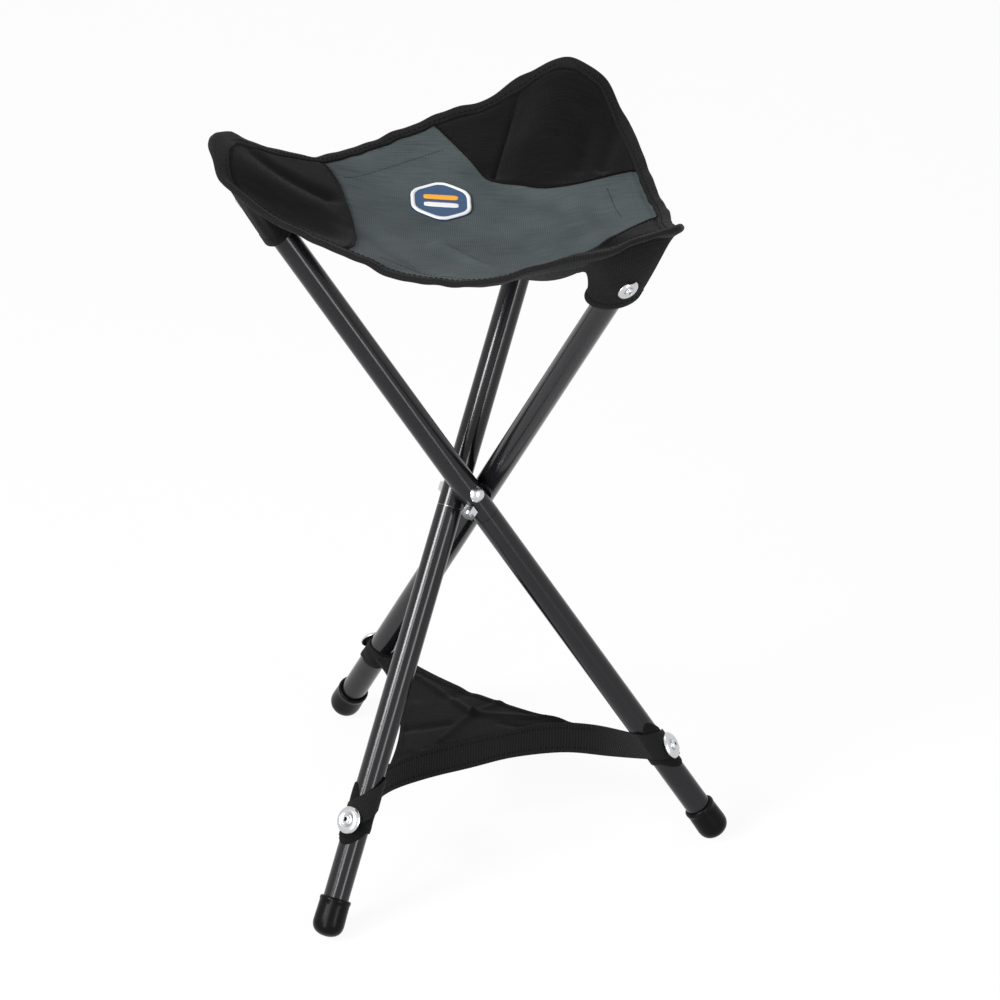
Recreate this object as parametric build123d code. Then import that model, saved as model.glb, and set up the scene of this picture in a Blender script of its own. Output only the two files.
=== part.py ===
from build123d import *
import os
from math import cos, radians, sin

# Folding tripod stool: three crossing tube legs on two hub bolts, a sling seat and a lower brace
# Millimetres, +Z up, floor at z = 0; each leg is named for the seat corner that its top carries

# Legs: distances along a leg are counted from the hub, up positive
tube_od = 19.0
tube_wall = 1.2
leg_tilt = 33.8
leg_above = 296.0
leg_below = 340.0
seam_drop = 17.5
seam_gap = 0.3
hub_plan_x = -6.2
hub_plan_y = -5.2

# Ferrule inside the tube seam
ferrule_wall = 1.5
ferrule_up = 8.0
ferrule_down = 40.0

# Rubber foot caps
foot_wall = 2.2
foot_length = 26.0
foot_floor = 5.0
foot_edge = 2.5
foot_lip = 0.8
foot_flat = 0.8

# Plugs in the tube tops
plug_flange = 2.0
plug_depth = 8.0
plug_wall = 1.6

# Hub bolts, spacers and nuts
bolt_d = 6.0
bolt_head_d = 12.0
bolt_head_height = 3.4
spacer_thick = 2.6
spacer_d = 14.0
nut_flats = 10.0
nut_height = 5.0
bolt_end = 1.5

# Screws and washers that hold the fabric to the tubes
screw_d = 4.0
screw_head_d = 8.4
screw_head_height = 2.6
screw_bite = 5.0
pocket_washer_d = 16.0
strap_washer_d = 20.0
washer_thick = 1.2

# Seat sling: the cover is the gap over the plugs, and the sags are counted down from the plugs' tops
seat_cover = 8.5
seat_sag = 48.2
seat_edge_sag = 25.2
seat_overhang = 20.2
seat_edge_draw = 49.0
seat_corner_square = 4.0
seat_thick = 2.0
binding_width = 11.0
binding_thick = 3.6
patch_inner = 90.0
patch_round = 263.0
patch_thick = 1.0

# Badge on the seat, a plain six-sided patch
badge_x = -27.0
badge_y = 44.0
badge_across = 44.0
badge_round = 7.0
badge_thick = 1.3

# Pockets under the seat corners
pocket_grip = 43.0
pocket_reach = 40.0
pocket_wall = 2.4
pocket_flare = 2.6
pocket_screw_drop = 15.0

# Lower brace
brace_rise = 83.0
brace_strap_width = 28.0
brace_strap_wall = 2.4
brace_panel_lift = 6.3
brace_panel_thick = 2.0
brace_front_draw = 55.0
brace_left_draw = 28.0
brace_rear_draw = 8.0
brace_screw_turn = 75.0
webbing_width = 25.0
webbing_thick = 2.0

# Clearances
running = 0.05
seat_gap = 0.3
touch_gap = 0.1

# Worked out from the driving dimensions
tube_r = tube_od / 2
tube_bore = tube_r - tube_wall
foot_r = tube_r + foot_wall
bolt_r = bolt_d / 2
screw_r = screw_d / 2
pocket_r = tube_r + running + pocket_wall
strap_r = tube_r + running + brace_strap_wall
tilt = radians(leg_tilt)
foot_drop = (leg_below - foot_edge) * cos(tilt) + (foot_r - foot_edge) * sin(tilt) + foot_edge
hub = Vector(hub_plan_x, hub_plan_y, foot_drop - foot_flat)
leg_end = leg_above + plug_flange
leg_end_radius = leg_end * sin(tilt)
leg_end_height = hub.Z + leg_end * cos(tilt) + tube_r * sin(tilt)
seat_corner_radius = leg_end_radius + seat_overhang
seat_edge_radius = seat_corner_radius - seat_edge_draw
seat_centre_height = leg_end_height - seat_sag
pocket_low = leg_above - pocket_grip
pocket_high = leg_above + pocket_reach
pocket_screw_at = leg_above - pocket_screw_drop
brace_at = leg_below - brace_rise
brace_panel_height = hub.Z - brace_at * cos(tilt) + brace_panel_lift
up = Vector(0, 0, 1)
arm_angles = {"left": -90, "rear": 150, "right": 30}
legs = list(arm_angles)
nodes = {}


def arm_direction(leg):
    """Level direction from the hub axis to where the leg passes it."""
    angle = radians(arm_angles[leg])
    return Vector(cos(angle), sin(angle), 0)


def lean_direction(leg):
    """Level direction that the leg's top leans towards."""
    angle = radians(arm_angles[leg])
    return Vector(sin(angle), -cos(angle), 0)


def leg_direction(leg):
    """Direction up along the leg."""
    return lean_direction(leg) * sin(tilt) + up * cos(tilt)


def arm_length():
    """Arm at which two neighbouring tubes pass each other with one spacer between them."""
    across = leg_direction("left").cross(leg_direction("rear")).normalized()
    spread = abs((arm_direction("left") - arm_direction("rear")).dot(across))
    return (tube_od + spacer_thick + 2 * touch_gap) / spread


arm = arm_length()


def leg_plane(leg):
    """Frame on the leg's axis at the hub: z up the leg, x out along its arm."""
    return Plane(hub + arm_direction(leg) * arm, x_dir=arm_direction(leg), z_dir=leg_direction(leg))


def on_leg(leg, shape):
    """Places a shape drawn along the z axis onto a leg."""
    return leg_plane(leg).location * shape


def rod(radius, low, high):
    """Round bar along the z axis."""
    return Pos(0, 0, (low + high) / 2) * Cylinder(radius, high - low)


def closest(leg, other):
    """Points on two leg axes where they pass nearest each other."""
    first, second = leg_plane(leg), leg_plane(other)
    between = first.origin - second.origin
    share = first.z_dir.dot(second.z_dir)
    along, beside = between.dot(first.z_dir), between.dot(second.z_dir)
    spare = 1 - share * share
    here = first.origin + first.z_dir * ((share * beside - along) / spare)
    there = second.origin + second.z_dir * ((beside - share * along) / spare)
    return here, there


def bolt_plane(headed, nutted):
    """Frame midway between two crossing tubes: z from the headed leg to the nutted one."""
    here, there = closest(headed, nutted)
    return Plane((here + there) * 0.5, z_dir=(there - here).normalized())


def radial(turn, at):
    """Frame on a leg's axis, z pointing out of the tube, turned from the arm."""
    angle = radians(turn)
    return Plane((0, 0, at), x_dir=(0, 0, 1), z_dir=(cos(angle), sin(angle), 0))


bolts = {"rear": bolt_plane("left", "rear"), "right": bolt_plane("right", "left")}
bolt_reach = tube_od + spacer_thick / 2 + touch_gap
pocket_screw = radial(-90, pocket_screw_at)
strap_screw = radial(brace_screw_turn, -brace_at)


def bolt_drill(radius):
    """Long bars on the two hub bolts' axes."""
    bar = rod(radius, -2 * bolt_reach, 2 * bolt_reach)
    return [plane.location * bar for plane in bolts.values()]


# Tubes, ferrules, plugs and feet
def tube_part(low, high, bore):
    """Straight tube between two places on the leg."""
    return rod(tube_r, low, high) - rod(bore, low, high)


def screw_hole(plane):
    """Hole for a fabric screw through one tube wall."""
    return plane.location * rod(screw_r + running, 0, tube_od)


def foot_cap():
    """Rubber cap pushed over the tube's lower end."""
    cap = rod(foot_r, -leg_below, foot_length - leg_below)
    cap = fillet(cap.edges().filter_by(GeomType.CIRCLE).sort_by(Axis.Z)[0], foot_edge)
    cap = fillet(cap.edges().filter_by(GeomType.CIRCLE).sort_by(Axis.Z)[-1], foot_lip)
    return cap - rod(tube_r + running, foot_floor - leg_below, leg_below)


def top_plug():
    """Plastic plug with a flange that closes the tube's top."""
    stem = rod(tube_bore - running, leg_above - plug_depth, leg_above)
    core = rod(tube_bore - running - plug_wall, leg_above - plug_depth, leg_above - plug_wall)
    return stem - core + rod(tube_r, leg_above, leg_above + plug_flange)


def ferrule():
    """Sleeve that joins the upper and the lower tube across the seam."""
    outer = tube_bore - running
    low, high = -seam_drop - ferrule_down, -seam_drop + ferrule_up
    return rod(outer, low, high) - rod(outer - ferrule_wall, low, high)


floor_cut = Pos(0, 0, -leg_below) * Box(4 * leg_below, 4 * leg_below, 2 * leg_below)
for leg in legs:
    upper = tube_part(seam_gap - seam_drop, leg_above, tube_bore) - screw_hole(pocket_screw)
    lower = tube_part(foot_floor - leg_below, -seam_drop, tube_bore) - screw_hole(strap_screw)
    nodes[f"{leg}_upper_tube"] = on_leg(leg, upper) - bolt_drill(bolt_r + running)
    nodes[f"{leg}_lower_tube"] = on_leg(leg, lower)
    nodes[f"{leg}_ferrule"] = on_leg(leg, ferrule())
    nodes[f"{leg}_top_plug"] = on_leg(leg, top_plug())
    nodes[f"{leg}_foot_cap"] = on_leg(leg, foot_cap()) - floor_cut


# Hub bolts
def dome(diameter, height):
    """Low dome on the z = 0 plane."""
    radius = (diameter**2 / 4 + height**2) / (2 * height)
    ball = Pos(0, 0, height - radius) * Sphere(radius)
    return ball & Pos(0, 0, height / 2) * Box(2 * diameter, 2 * diameter, height)


def hub_bolt():
    """Domed bolt through both tubes, head at the low end of the frame's z axis."""
    head = Pos(0, 0, -bolt_reach - touch_gap) * Rot(180, 0, 0) * dome(bolt_head_d, bolt_head_height)
    return head + rod(bolt_r, -bolt_reach - touch_gap, bolt_reach + touch_gap + nut_height + bolt_end)


def hub_nut():
    """Six-sided nut on the bolt's far end."""
    blank = extrude(RegularPolygon(nut_flats / 2, 6, major_radius=False), nut_height)
    bored = blank - rod(bolt_r + running, 0, nut_height)
    return Pos(0, 0, bolt_reach + touch_gap) * bored


def hub_spacer():
    """Washer between the two tubes."""
    half = spacer_thick / 2
    return rod(spacer_d / 2, -half, half) - rod(bolt_r + running, -half, half)


for name, plane in bolts.items():
    nodes[f"{name}_hub_bolt"] = plane.location * hub_bolt()
    nodes[f"{name}_hub_nut"] = plane.location * hub_nut()
    nodes[f"{name}_hub_spacer"] = plane.location * hub_spacer()


# Seat sling: a dished sheet, z = centre + bowl r^2 + saddle r^3 cos(3 angle from a corner)
corner_turn = radians(90 + arm_angles["left"] + 180)
cover_lift = seat_sag + seat_thick + seat_cover
edge_lift = seat_sag - seat_edge_sag
cover_bend = cover_lift / leg_end_radius**2
saddle = (cover_bend - edge_lift / seat_edge_radius**2) / (leg_end_radius + seat_edge_radius)
bowl = cover_bend - saddle * leg_end_radius
rim_mean = (seat_corner_radius + seat_edge_radius) / 2 - seat_corner_square
rim_wave = (seat_corner_radius - seat_edge_radius) / 2
grid_count = 15
rim_count = 36
tall = 2 * leg_end_height


def seat_height(x, y):
    """Height of the sling's upper face at a place counted from the hub axis."""
    turned_x = x * cos(corner_turn) + y * sin(corner_turn)
    turned_y = y * cos(corner_turn) - x * sin(corner_turn)
    wave = turned_x**3 - 3 * turned_x * turned_y**2
    return seat_centre_height + bowl * (x * x + y * y) + saddle * wave


def seat_slab(low, high):
    """Sheet between two heights over the sling's upper face, wider than the seat."""
    half = seat_corner_radius + 2 * binding_width
    steps = [half * (2 * k / (grid_count - 1) - 1) for k in range(grid_count)]
    rows = [[Vector(hub.X + x, hub.Y + y, seat_height(x, y) + low) for y in steps] for x in steps]
    face = Face.make_surface_from_array_of_points(rows, tol=0.001)
    return extrude(face, high - low, dir=(0, 0, 1))


def rim_point(share, inset):
    """Place on the seat's plan outline, drawn in by an inset."""
    angle = radians(360 * share)
    radius = rim_mean + rim_wave * cos(3 * angle) + seat_corner_square * cos(6 * angle) - inset
    return Vector(hub.X + radius * cos(angle + corner_turn), hub.Y + radius * sin(angle + corner_turn))


def rim_prism(inset):
    """Upright prism on the seat's plan outline."""
    outline = Spline([rim_point(k / rim_count, inset) for k in range(rim_count)], periodic=True)
    return extrude(make_face(outline), tall)


def wedge(start):
    """Upright third of the plan, from one seat corner to the next."""
    far = 3 * seat_corner_radius
    turns = [corner_turn + radians(start + step) for step in (0, 60, 120)]
    spokes = [(hub.X + far * cos(turn), hub.Y + far * sin(turn)) for turn in turns]
    return extrude(make_face(Polyline((hub.X, hub.Y), *spokes, close=True)), tall)


panel_prism = rim_prism(binding_width)
seat_prism = rim_prism(0)
binding_low = -(binding_thick + seat_thick) / 2
binding_ring = seat_slab(binding_low, binding_low + binding_thick) & (seat_prism - panel_prism)
nodes["seat_panel"] = seat_slab(-seat_thick, 0) & panel_prism
for name, start in {"left_rear": -120, "rear_right": 120, "front": 0}.items():
    nodes[f"{name}_binding"] = binding_ring & wedge(start)

patch_slab = seat_slab(touch_gap, touch_gap + patch_thick)
for leg in legs:
    at = lean_direction(leg) * (patch_inner + patch_round) + hub
    reach = Pos(at.X, at.Y, tall / 2) * Cylinder(patch_round, tall)
    nodes[f"{leg}_corner_patch"] = patch_slab & (panel_prism & reach)

badge_outline = fillet(RegularPolygon(badge_across / 2, 6, major_radius=False).vertices(), badge_round)
badge_prism = Pos(hub.X + badge_x, hub.Y + badge_y, 0) * extrude(badge_outline, tall)
nodes["seat_badge"] = seat_slab(touch_gap, touch_gap + badge_thick) & badge_prism

# Pockets: tapered sleeves over the tube tops, trimmed where they meet the sling
over_seat = seat_slab(binding_low - seat_gap, leg_end_height)


def pocket():
    """Fabric sleeve, open below, with a hole for its screw."""
    length = pocket_high - pocket_low
    taper = Pos(0, 0, pocket_low + length / 2) * Cone(pocket_r, pocket_r + pocket_flare, length)
    bore = rod(tube_r + running, 0, leg_above + plug_flange + touch_gap)
    recess = pocket_screw.location * rod(pocket_washer_d / 2 + touch_gap, pocket_r, 2 * pocket_r)
    return taper - bore - screw_hole(pocket_screw) - recess


def fabric_screw(seat):
    """Domed screw whose head sits at a distance from the tube's axis."""
    return Pos(0, 0, seat) * dome(screw_head_d, screw_head_height) + rod(screw_r, tube_r - screw_bite, seat)


def fabric_washer(diameter, seat):
    """Flat washer under a screw head."""
    low = seat - washer_thick
    return rod(diameter / 2, low, seat) - rod(screw_r + running, low, seat)


pocket_seat = pocket_r + touch_gap + washer_thick
strap_seat = strap_r + touch_gap + washer_thick
for leg in legs:
    washer = fabric_washer(pocket_washer_d, pocket_seat)
    nodes[f"{leg}_pocket"] = (on_leg(leg, pocket()) - over_seat) & seat_prism
    nodes[f"{leg}_pocket_washer"] = on_leg(leg, pocket_screw.location * washer)
    nodes[f"{leg}_pocket_screw"] = on_leg(leg, pocket_screw.location * fabric_screw(pocket_seat))

# Lower brace: a strap round each leg, a drawn-in panel and a webbing edge
for leg in legs:
    low, high = -brace_at - brace_strap_width / 2, -brace_at + brace_strap_width / 2
    strap = rod(strap_r, low, high) - rod(tube_r + running, low, high)
    washer = fabric_washer(strap_washer_d, strap_seat)
    nodes[f"{leg}_brace_strap"] = on_leg(leg, strap - screw_hole(strap_screw))
    nodes[f"{leg}_brace_washer"] = on_leg(leg, strap_screw.location * washer)
    nodes[f"{leg}_brace_screw"] = on_leg(leg, strap_screw.location * fabric_screw(strap_seat))


def brace_corner(leg):
    """Plan place of a leg's axis at the brace panel's height."""
    plane = leg_plane(leg)
    at = plane.origin + plane.z_dir * ((brace_panel_height - plane.origin.Z) / plane.z_dir.Z)
    return Vector(at.X, at.Y)


def drawn_edge(first, second, draw):
    """Arc between two legs, drawn in towards the hub axis at its middle."""
    start, end = brace_corner(first), brace_corner(second)
    middle = (start + end) * 0.5
    inward = (Vector(hub.X, hub.Y) - middle).normalized()
    return ThreePointArc(start, middle + inward * draw, end)


def leg_clearance():
    """Bars round the legs that the brace's panel and webbing stay out of."""
    bar = rod(strap_r + seat_gap, -leg_below, 0)
    return [on_leg(leg, bar) for leg in legs]


front_edge = drawn_edge("rear", "left", brace_front_draw)
front_strip = offset(front_edge, webbing_thick / 2, side=Side.BOTH, closed=True)
webbing_low = brace_panel_height + brace_panel_thick / 2 - webbing_width
webbing = Pos(0, 0, webbing_low) * extrude(make_face(front_strip), webbing_width)
nodes["brace_webbing"] = webbing - leg_clearance()

brace_outline = [
    drawn_edge("rear", "left", brace_front_draw + webbing_thick / 2 + touch_gap),
    drawn_edge("left", "right", brace_rear_draw),
    drawn_edge("right", "rear", brace_left_draw),
]
panel = extrude(make_face(brace_outline), brace_panel_thick)
panel = Pos(0, 0, brace_panel_height - brace_panel_thick / 2) * panel
nodes["brace_panel"] = panel - [*leg_clearance(), nodes["brace_webbing"]]

os.makedirs("parts", exist_ok=True)
for name, shape in nodes.items():
    export_step(shape, f"parts/{name}.step")
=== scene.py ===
import logging
from dataclasses import dataclass
from enum import Enum
from math import cos, pi, radians, sin
from typing import Any, Sequence

import bmesh
import bpy
import numpy as np
from mathutils import Matrix, Vector


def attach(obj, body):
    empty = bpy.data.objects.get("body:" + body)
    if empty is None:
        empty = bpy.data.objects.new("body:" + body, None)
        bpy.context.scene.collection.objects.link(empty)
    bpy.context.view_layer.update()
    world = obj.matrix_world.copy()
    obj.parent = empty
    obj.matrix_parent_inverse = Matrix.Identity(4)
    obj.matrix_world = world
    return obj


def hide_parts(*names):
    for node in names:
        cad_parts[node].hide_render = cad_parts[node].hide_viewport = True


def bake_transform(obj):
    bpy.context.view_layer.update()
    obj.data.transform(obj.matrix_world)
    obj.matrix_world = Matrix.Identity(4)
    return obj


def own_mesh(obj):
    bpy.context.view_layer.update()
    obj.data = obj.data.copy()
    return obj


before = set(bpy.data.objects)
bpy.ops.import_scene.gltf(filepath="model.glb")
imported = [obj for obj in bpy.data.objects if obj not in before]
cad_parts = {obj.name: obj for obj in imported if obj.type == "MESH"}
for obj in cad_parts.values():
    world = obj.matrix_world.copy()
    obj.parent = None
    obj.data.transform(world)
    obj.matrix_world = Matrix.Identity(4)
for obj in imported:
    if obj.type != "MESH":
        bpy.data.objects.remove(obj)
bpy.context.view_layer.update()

log = logging.getLogger("stool")
Array = np.ndarray
Tree = bpy.types.NodeTree
Material = bpy.types.Material
Piece = bpy.types.Object
# Outputs of shader nodes for the tint, the roughness and the relief of a finish
Pattern = tuple[Any, Any, Any]
# Sizes, points and directions, and lists of them
Pair = tuple[float, float]
Triple = tuple[float, float, float]
Pairs = tuple[Pair, ...]
Triples = tuple[Triple, ...]

# Millimetres throughout, turned to metres when a mesh is made
MM = 0.001
# Middle of the hub, and the distance of each leg's axis from it
HUB = np.array([-6.2, -5.2, 287.275])
ARM = 13.2726
# Lean of a leg from upright, and the radius of its tube
TILT = radians(33.8)
TUBE_R = 9.5
UPRIGHT = np.array([0.0, 0.0, 1.0])


# Vectors, curves and paths


def unit(vectors: Array) -> Array:
    """Vectors scaled to a length of one, along the last axis."""
    return vectors / np.linalg.norm(vectors, axis=-1, keepdims=True)


def ring_angles(count: int) -> Array:
    """Angles of evenly spaced places round one turn."""
    return np.linspace(0, 2 * pi, count, endpoint=False)


def hump(values: Array, middle: float, width: float) -> Array:
    """Smooth hump with a height of one at its middle."""
    return np.exp(-(((values - middle) / width) ** 2))


def waves(values: Array, terms: Triples) -> Array:
    """Sum of sine waves.

    Args:
        values: Places along the waves.
        terms: Height, rate and phase of each wave.

    Returns:
        The sum at each place.
    """
    return sum(height * np.sin(count * values + phase) for height, count, phase in terms)


def arc_length(path: Array) -> Array:
    """Distance along a path at each of its points."""
    return np.concatenate([[0], np.cumsum(np.linalg.norm(np.diff(path, axis=0), axis=1))])


def resample(spots: Array, run: Array, values: Array) -> Array:
    """Values at places along a path.

    Args:
        spots: Distances along the path.
        run: Distance along the path of each known value.
        values: Known values, one row each.

    Returns:
        Values with one row for each spot.
    """
    return np.stack([np.interp(spots, run, column) for column in values.T], axis=1)


def relax(values: Array) -> Array:
    """Values drawn a little towards their neighbours, with both ends kept."""
    inner = (values[:-2] + 2 * values[1:-1] + values[2:]) / 4
    return np.concatenate([values[:1], inner, values[-1:]])


def grid_places(rows: Array, columns: Array) -> Array:
    """Texture places of a grid, from a value for each row and each column."""
    return np.stack(np.meshgrid(rows, columns, indexing="ij"), axis=-1)


class Leg(Enum):
    """A leg, named for the seat corner that its top carries. The value is its arm's angle in plan."""

    LEFT = -90.0
    REAR = 150.0
    RIGHT = 30.0

    @property
    def label(self) -> str:
        """Name that the leg's pieces start with."""
        return self.name.lower()

    @property
    def body(self) -> str:
        """Name of the leg's rigid body."""
        return f"{self.label}_leg"

    def axes(self) -> tuple[Array, Array, Array]:
        """Directions of the leg.

        Returns:
            Out along the arm, across the leg, and up along it.
        """
        angle = radians(self.value)
        arm = np.array([cos(angle), sin(angle), 0.0])
        lean = np.array([sin(angle), -cos(angle), 0.0])
        along = lean * sin(TILT) + UPRIGHT * cos(TILT)
        return arm, np.cross(along, arm), along

    def at(self, along: float | Array) -> Array:
        """Points on the leg's axis.

        Args:
            along: Distances from the hub, up positive.

        Returns:
            Points with one row for each distance.
        """
        arm, _, up = self.axes()
        return HUB + arm * ARM + np.asarray(along)[..., None] * up

    def around(self, along: float | Array, turn: float | Array, radius: float | Array) -> Array:
        """Points round the leg's axis.

        Args:
            along: Distances from the hub, up positive.
            turn: Angles from the arm, in radians.
            radius: Distances from the axis.

        Returns:
            Points with the shape of the inputs.
        """
        arm, across, _ = self.axes()
        turn, radius = np.asarray(turn), np.asarray(radius)
        side = np.cos(turn)[..., None] * arm + np.sin(turn)[..., None] * across
        return self.at(along) + side * radius[..., None]


class Half(Enum):
    """Half of the fabric beside its spine, the line y = 0 over the hub. The value is its sign in y."""

    REAR = 1.0
    FRONT = -1.0

    @property
    def label(self) -> str:
        """Name that the half's pieces end with."""
        return self.name.lower()

    @property
    def seat_leg(self) -> Leg:
        """Leg that carries this half of the seat."""
        return Leg.REAR if self is Half.REAR else Leg.RIGHT

    @property
    def brace_leg(self) -> Leg:
        """Leg that carries this half of the brace, below the crossing."""
        return Leg.RIGHT if self is Half.REAR else Leg.REAR


# Finishes

# Kinds of shader node that several finishes use
NOISE = "ShaderNodeTexNoise"
WAVE = "ShaderNodeTexWave"
SPAN = "ShaderNodeMapRange"
MATHS = "ShaderNodeMath"


def linear(hex_colour: str) -> tuple[float, float, float, float]:
    """Turns an sRGB hex colour to linear.

    Args:
        hex_colour: Six hex digits with a leading mark.

    Returns:
        Red, green, blue and alpha.
    """
    parts = [int(hex_colour[k : k + 2], 16) / 255 for k in (1, 3, 5)]
    red, green, blue = (c / 12.92 if c <= 0.04045 else ((c + 0.055) / 1.055) ** 2.4 for c in parts)
    return red, green, blue, 1.0


def per_metre(size_mm: float) -> float:
    """Noise scale of a pattern from its size in millimetres."""
    return 1 / (size_mm * MM)


def bands_per_metre(spacing_mm: float) -> float:
    """Wave scale from the spacing of its bands, which repeat every pi / 10 of the scaled place."""
    return pi / 10 / (spacing_mm * MM)


def add_node(tree: Tree, kind: str, inputs: dict[Any, Any] | None = None, **settings: Any) -> Any:
    """Adds one node.

    Args:
        tree: Tree that takes the node.
        kind: Blender's name for the kind of node.
        inputs: For each input, a value or the output to link to it.
        settings: Attributes of the node.

    Returns:
        The node.
    """
    node = tree.nodes.new(kind)
    for key, value in settings.items():
        setattr(node, key, value)
    for key, value in (inputs or {}).items():
        if isinstance(value, bpy.types.NodeSocket):
            tree.links.new(value, node.inputs[key])
        else:
            node.inputs[key].default_value = value
    return node


@dataclass(frozen=True)
class Finish:
    """A finish with a colour that varies a little and a relief.

    Attributes:
        name: Real material and how its surface was made.
        colour: Main colour.
        shade: Second colour that the tint mixes in: random clouds, marks or dust in most finishes, and
            painted shade between the ribs of tape.
        roughness: Mean roughness.
        uneven: Lowest and highest change of the roughness over the surface.
        depth_mm: Depth of the relief.
        metallic: 1 for bare metal, and otherwise 0.
        specular: Specular level.
        sheen: Weight of the sheen.
        sheen_roughness: Roughness of the sheen.
    """

    name: str
    colour: str
    shade: str
    roughness: float
    uneven: Pair = (-0.06, 0.06)
    depth_mm: float = 0.02
    metallic: float = 0.0
    specular: float = 0.5
    sheen: float = 0.0
    sheen_roughness: float = 0.5

    def pattern(self, tree: Tree) -> Pattern:
        """Adds the nodes that make the surface uneven.

        Args:
            tree: Tree of the material.

        Returns:
            Outputs for the tint, which is 1 for the shade, the roughness and the relief.
        """
        raise NotImplementedError

    def make(self) -> Material:
        """Builds the material.

        Returns:
            The material.
        """
        material = bpy.data.materials.new(self.name)
        material.use_nodes = True
        tree = material.node_tree
        tree.nodes.clear()
        tint, vary, relief = self.pattern(tree)
        colours = {0: tint, 6: linear(self.colour), 7: linear(self.shade)}
        mix = add_node(tree, "ShaderNodeMix", colours, data_type="RGBA")
        low, high = (self.roughness + change for change in self.uneven)
        rough = add_node(tree, SPAN, {0: vary, 3: low, 4: high})
        height = {"Height": relief, "Distance": self.depth_mm * MM, "Strength": 1.0}
        inputs = {
            "Base Color": mix.outputs[2],
            "Roughness": rough.outputs[0],
            "Normal": add_node(tree, "ShaderNodeBump", height).outputs[0],
            "Metallic": self.metallic,
            "Specular IOR Level": self.specular,
            "Sheen Weight": self.sheen,
            "Sheen Roughness": self.sheen_roughness,
        }
        shader = add_node(tree, "ShaderNodeBsdfPrincipled", inputs)
        add_node(tree, "ShaderNodeOutputMaterial", {"Surface": shader.outputs[0]})
        return material


@dataclass(frozen=True)
class GlossPaint(Finish):
    """Stoved gloss paint on steel tube: dark, smooth, with long clear highlights and a faint orange peel.

    Attributes:
        peel_mm: Size of the orange peel.
        cloud_mm: Size of the faint clouds in its colour and gloss.
    """

    uneven: Pair = (-0.03, 0.03)
    depth_mm: float = 0.0008
    specular: float = 0.3
    peel_mm: float = 2.5
    cloud_mm: float = 55.6

    def pattern(self, tree: Tree) -> Pattern:
        """Adds the clouds and the orange peel.

        Args:
            tree: Tree of the material.

        Returns:
            Outputs for the tint, the roughness and the relief.
        """
        place = add_node(tree, "ShaderNodeTexCoord").outputs["Object"]
        peel = add_node(tree, NOISE, {"Vector": place, "Scale": per_metre(self.peel_mm), "Detail": 2.0})
        cloud = add_node(tree, NOISE, {"Vector": place, "Scale": per_metre(self.cloud_mm), "Detail": 4.0})
        return cloud.outputs[0], cloud.outputs[0], peel.outputs[0]


@dataclass(frozen=True)
class BrightSteel(Finish):
    """Pressed or turned metal, bright or with zinc plating: pale, sharp, with fine turning marks.

    Attributes:
        mark_mm: Size of the turning marks.
    """

    uneven: Pair = (-0.08, 0.12)
    depth_mm: float = 0.01
    metallic: float = 1.0
    mark_mm: float = 0.8

    def pattern(self, tree: Tree) -> Pattern:
        """Adds the turning marks.

        Args:
            tree: Tree of the material.

        Returns:
            Outputs for the tint, the roughness and the relief.
        """
        place = add_node(tree, "ShaderNodeTexCoord").outputs["Object"]
        marks = add_node(tree, NOISE, {"Vector": place, "Scale": per_metre(self.mark_mm), "Detail": 3.0})
        return marks.outputs[0], marks.outputs[0], marks.outputs[0]


@dataclass(frozen=True)
class MouldedBlack(Finish):
    """Moulded rubber or plastic: dull black with a fine spark-eroded grain and dusty high spots.

    Attributes:
        grain_mm: Size of the grain.
        dust_mm: Size of the dusty spots.
    """

    uneven: Pair = (-0.08, 0.08)
    depth_mm: float = 0.03
    specular: float = 0.2
    grain_mm: float = 0.9
    dust_mm: float = 16.7

    def pattern(self, tree: Tree) -> Pattern:
        """Adds the grain and the dust.

        Args:
            tree: Tree of the material.

        Returns:
            Outputs for the tint, the roughness and the relief.
        """
        place = add_node(tree, "ShaderNodeTexCoord").outputs["Object"]
        grain = add_node(tree, NOISE, {"Vector": place, "Scale": per_metre(self.grain_mm), "Detail": 2.0})
        dust = add_node(tree, NOISE, {"Vector": place, "Scale": per_metre(self.dust_mm), "Detail": 5.0})
        return dust.outputs[0], dust.outputs[0], grain.outputs[0]


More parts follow.
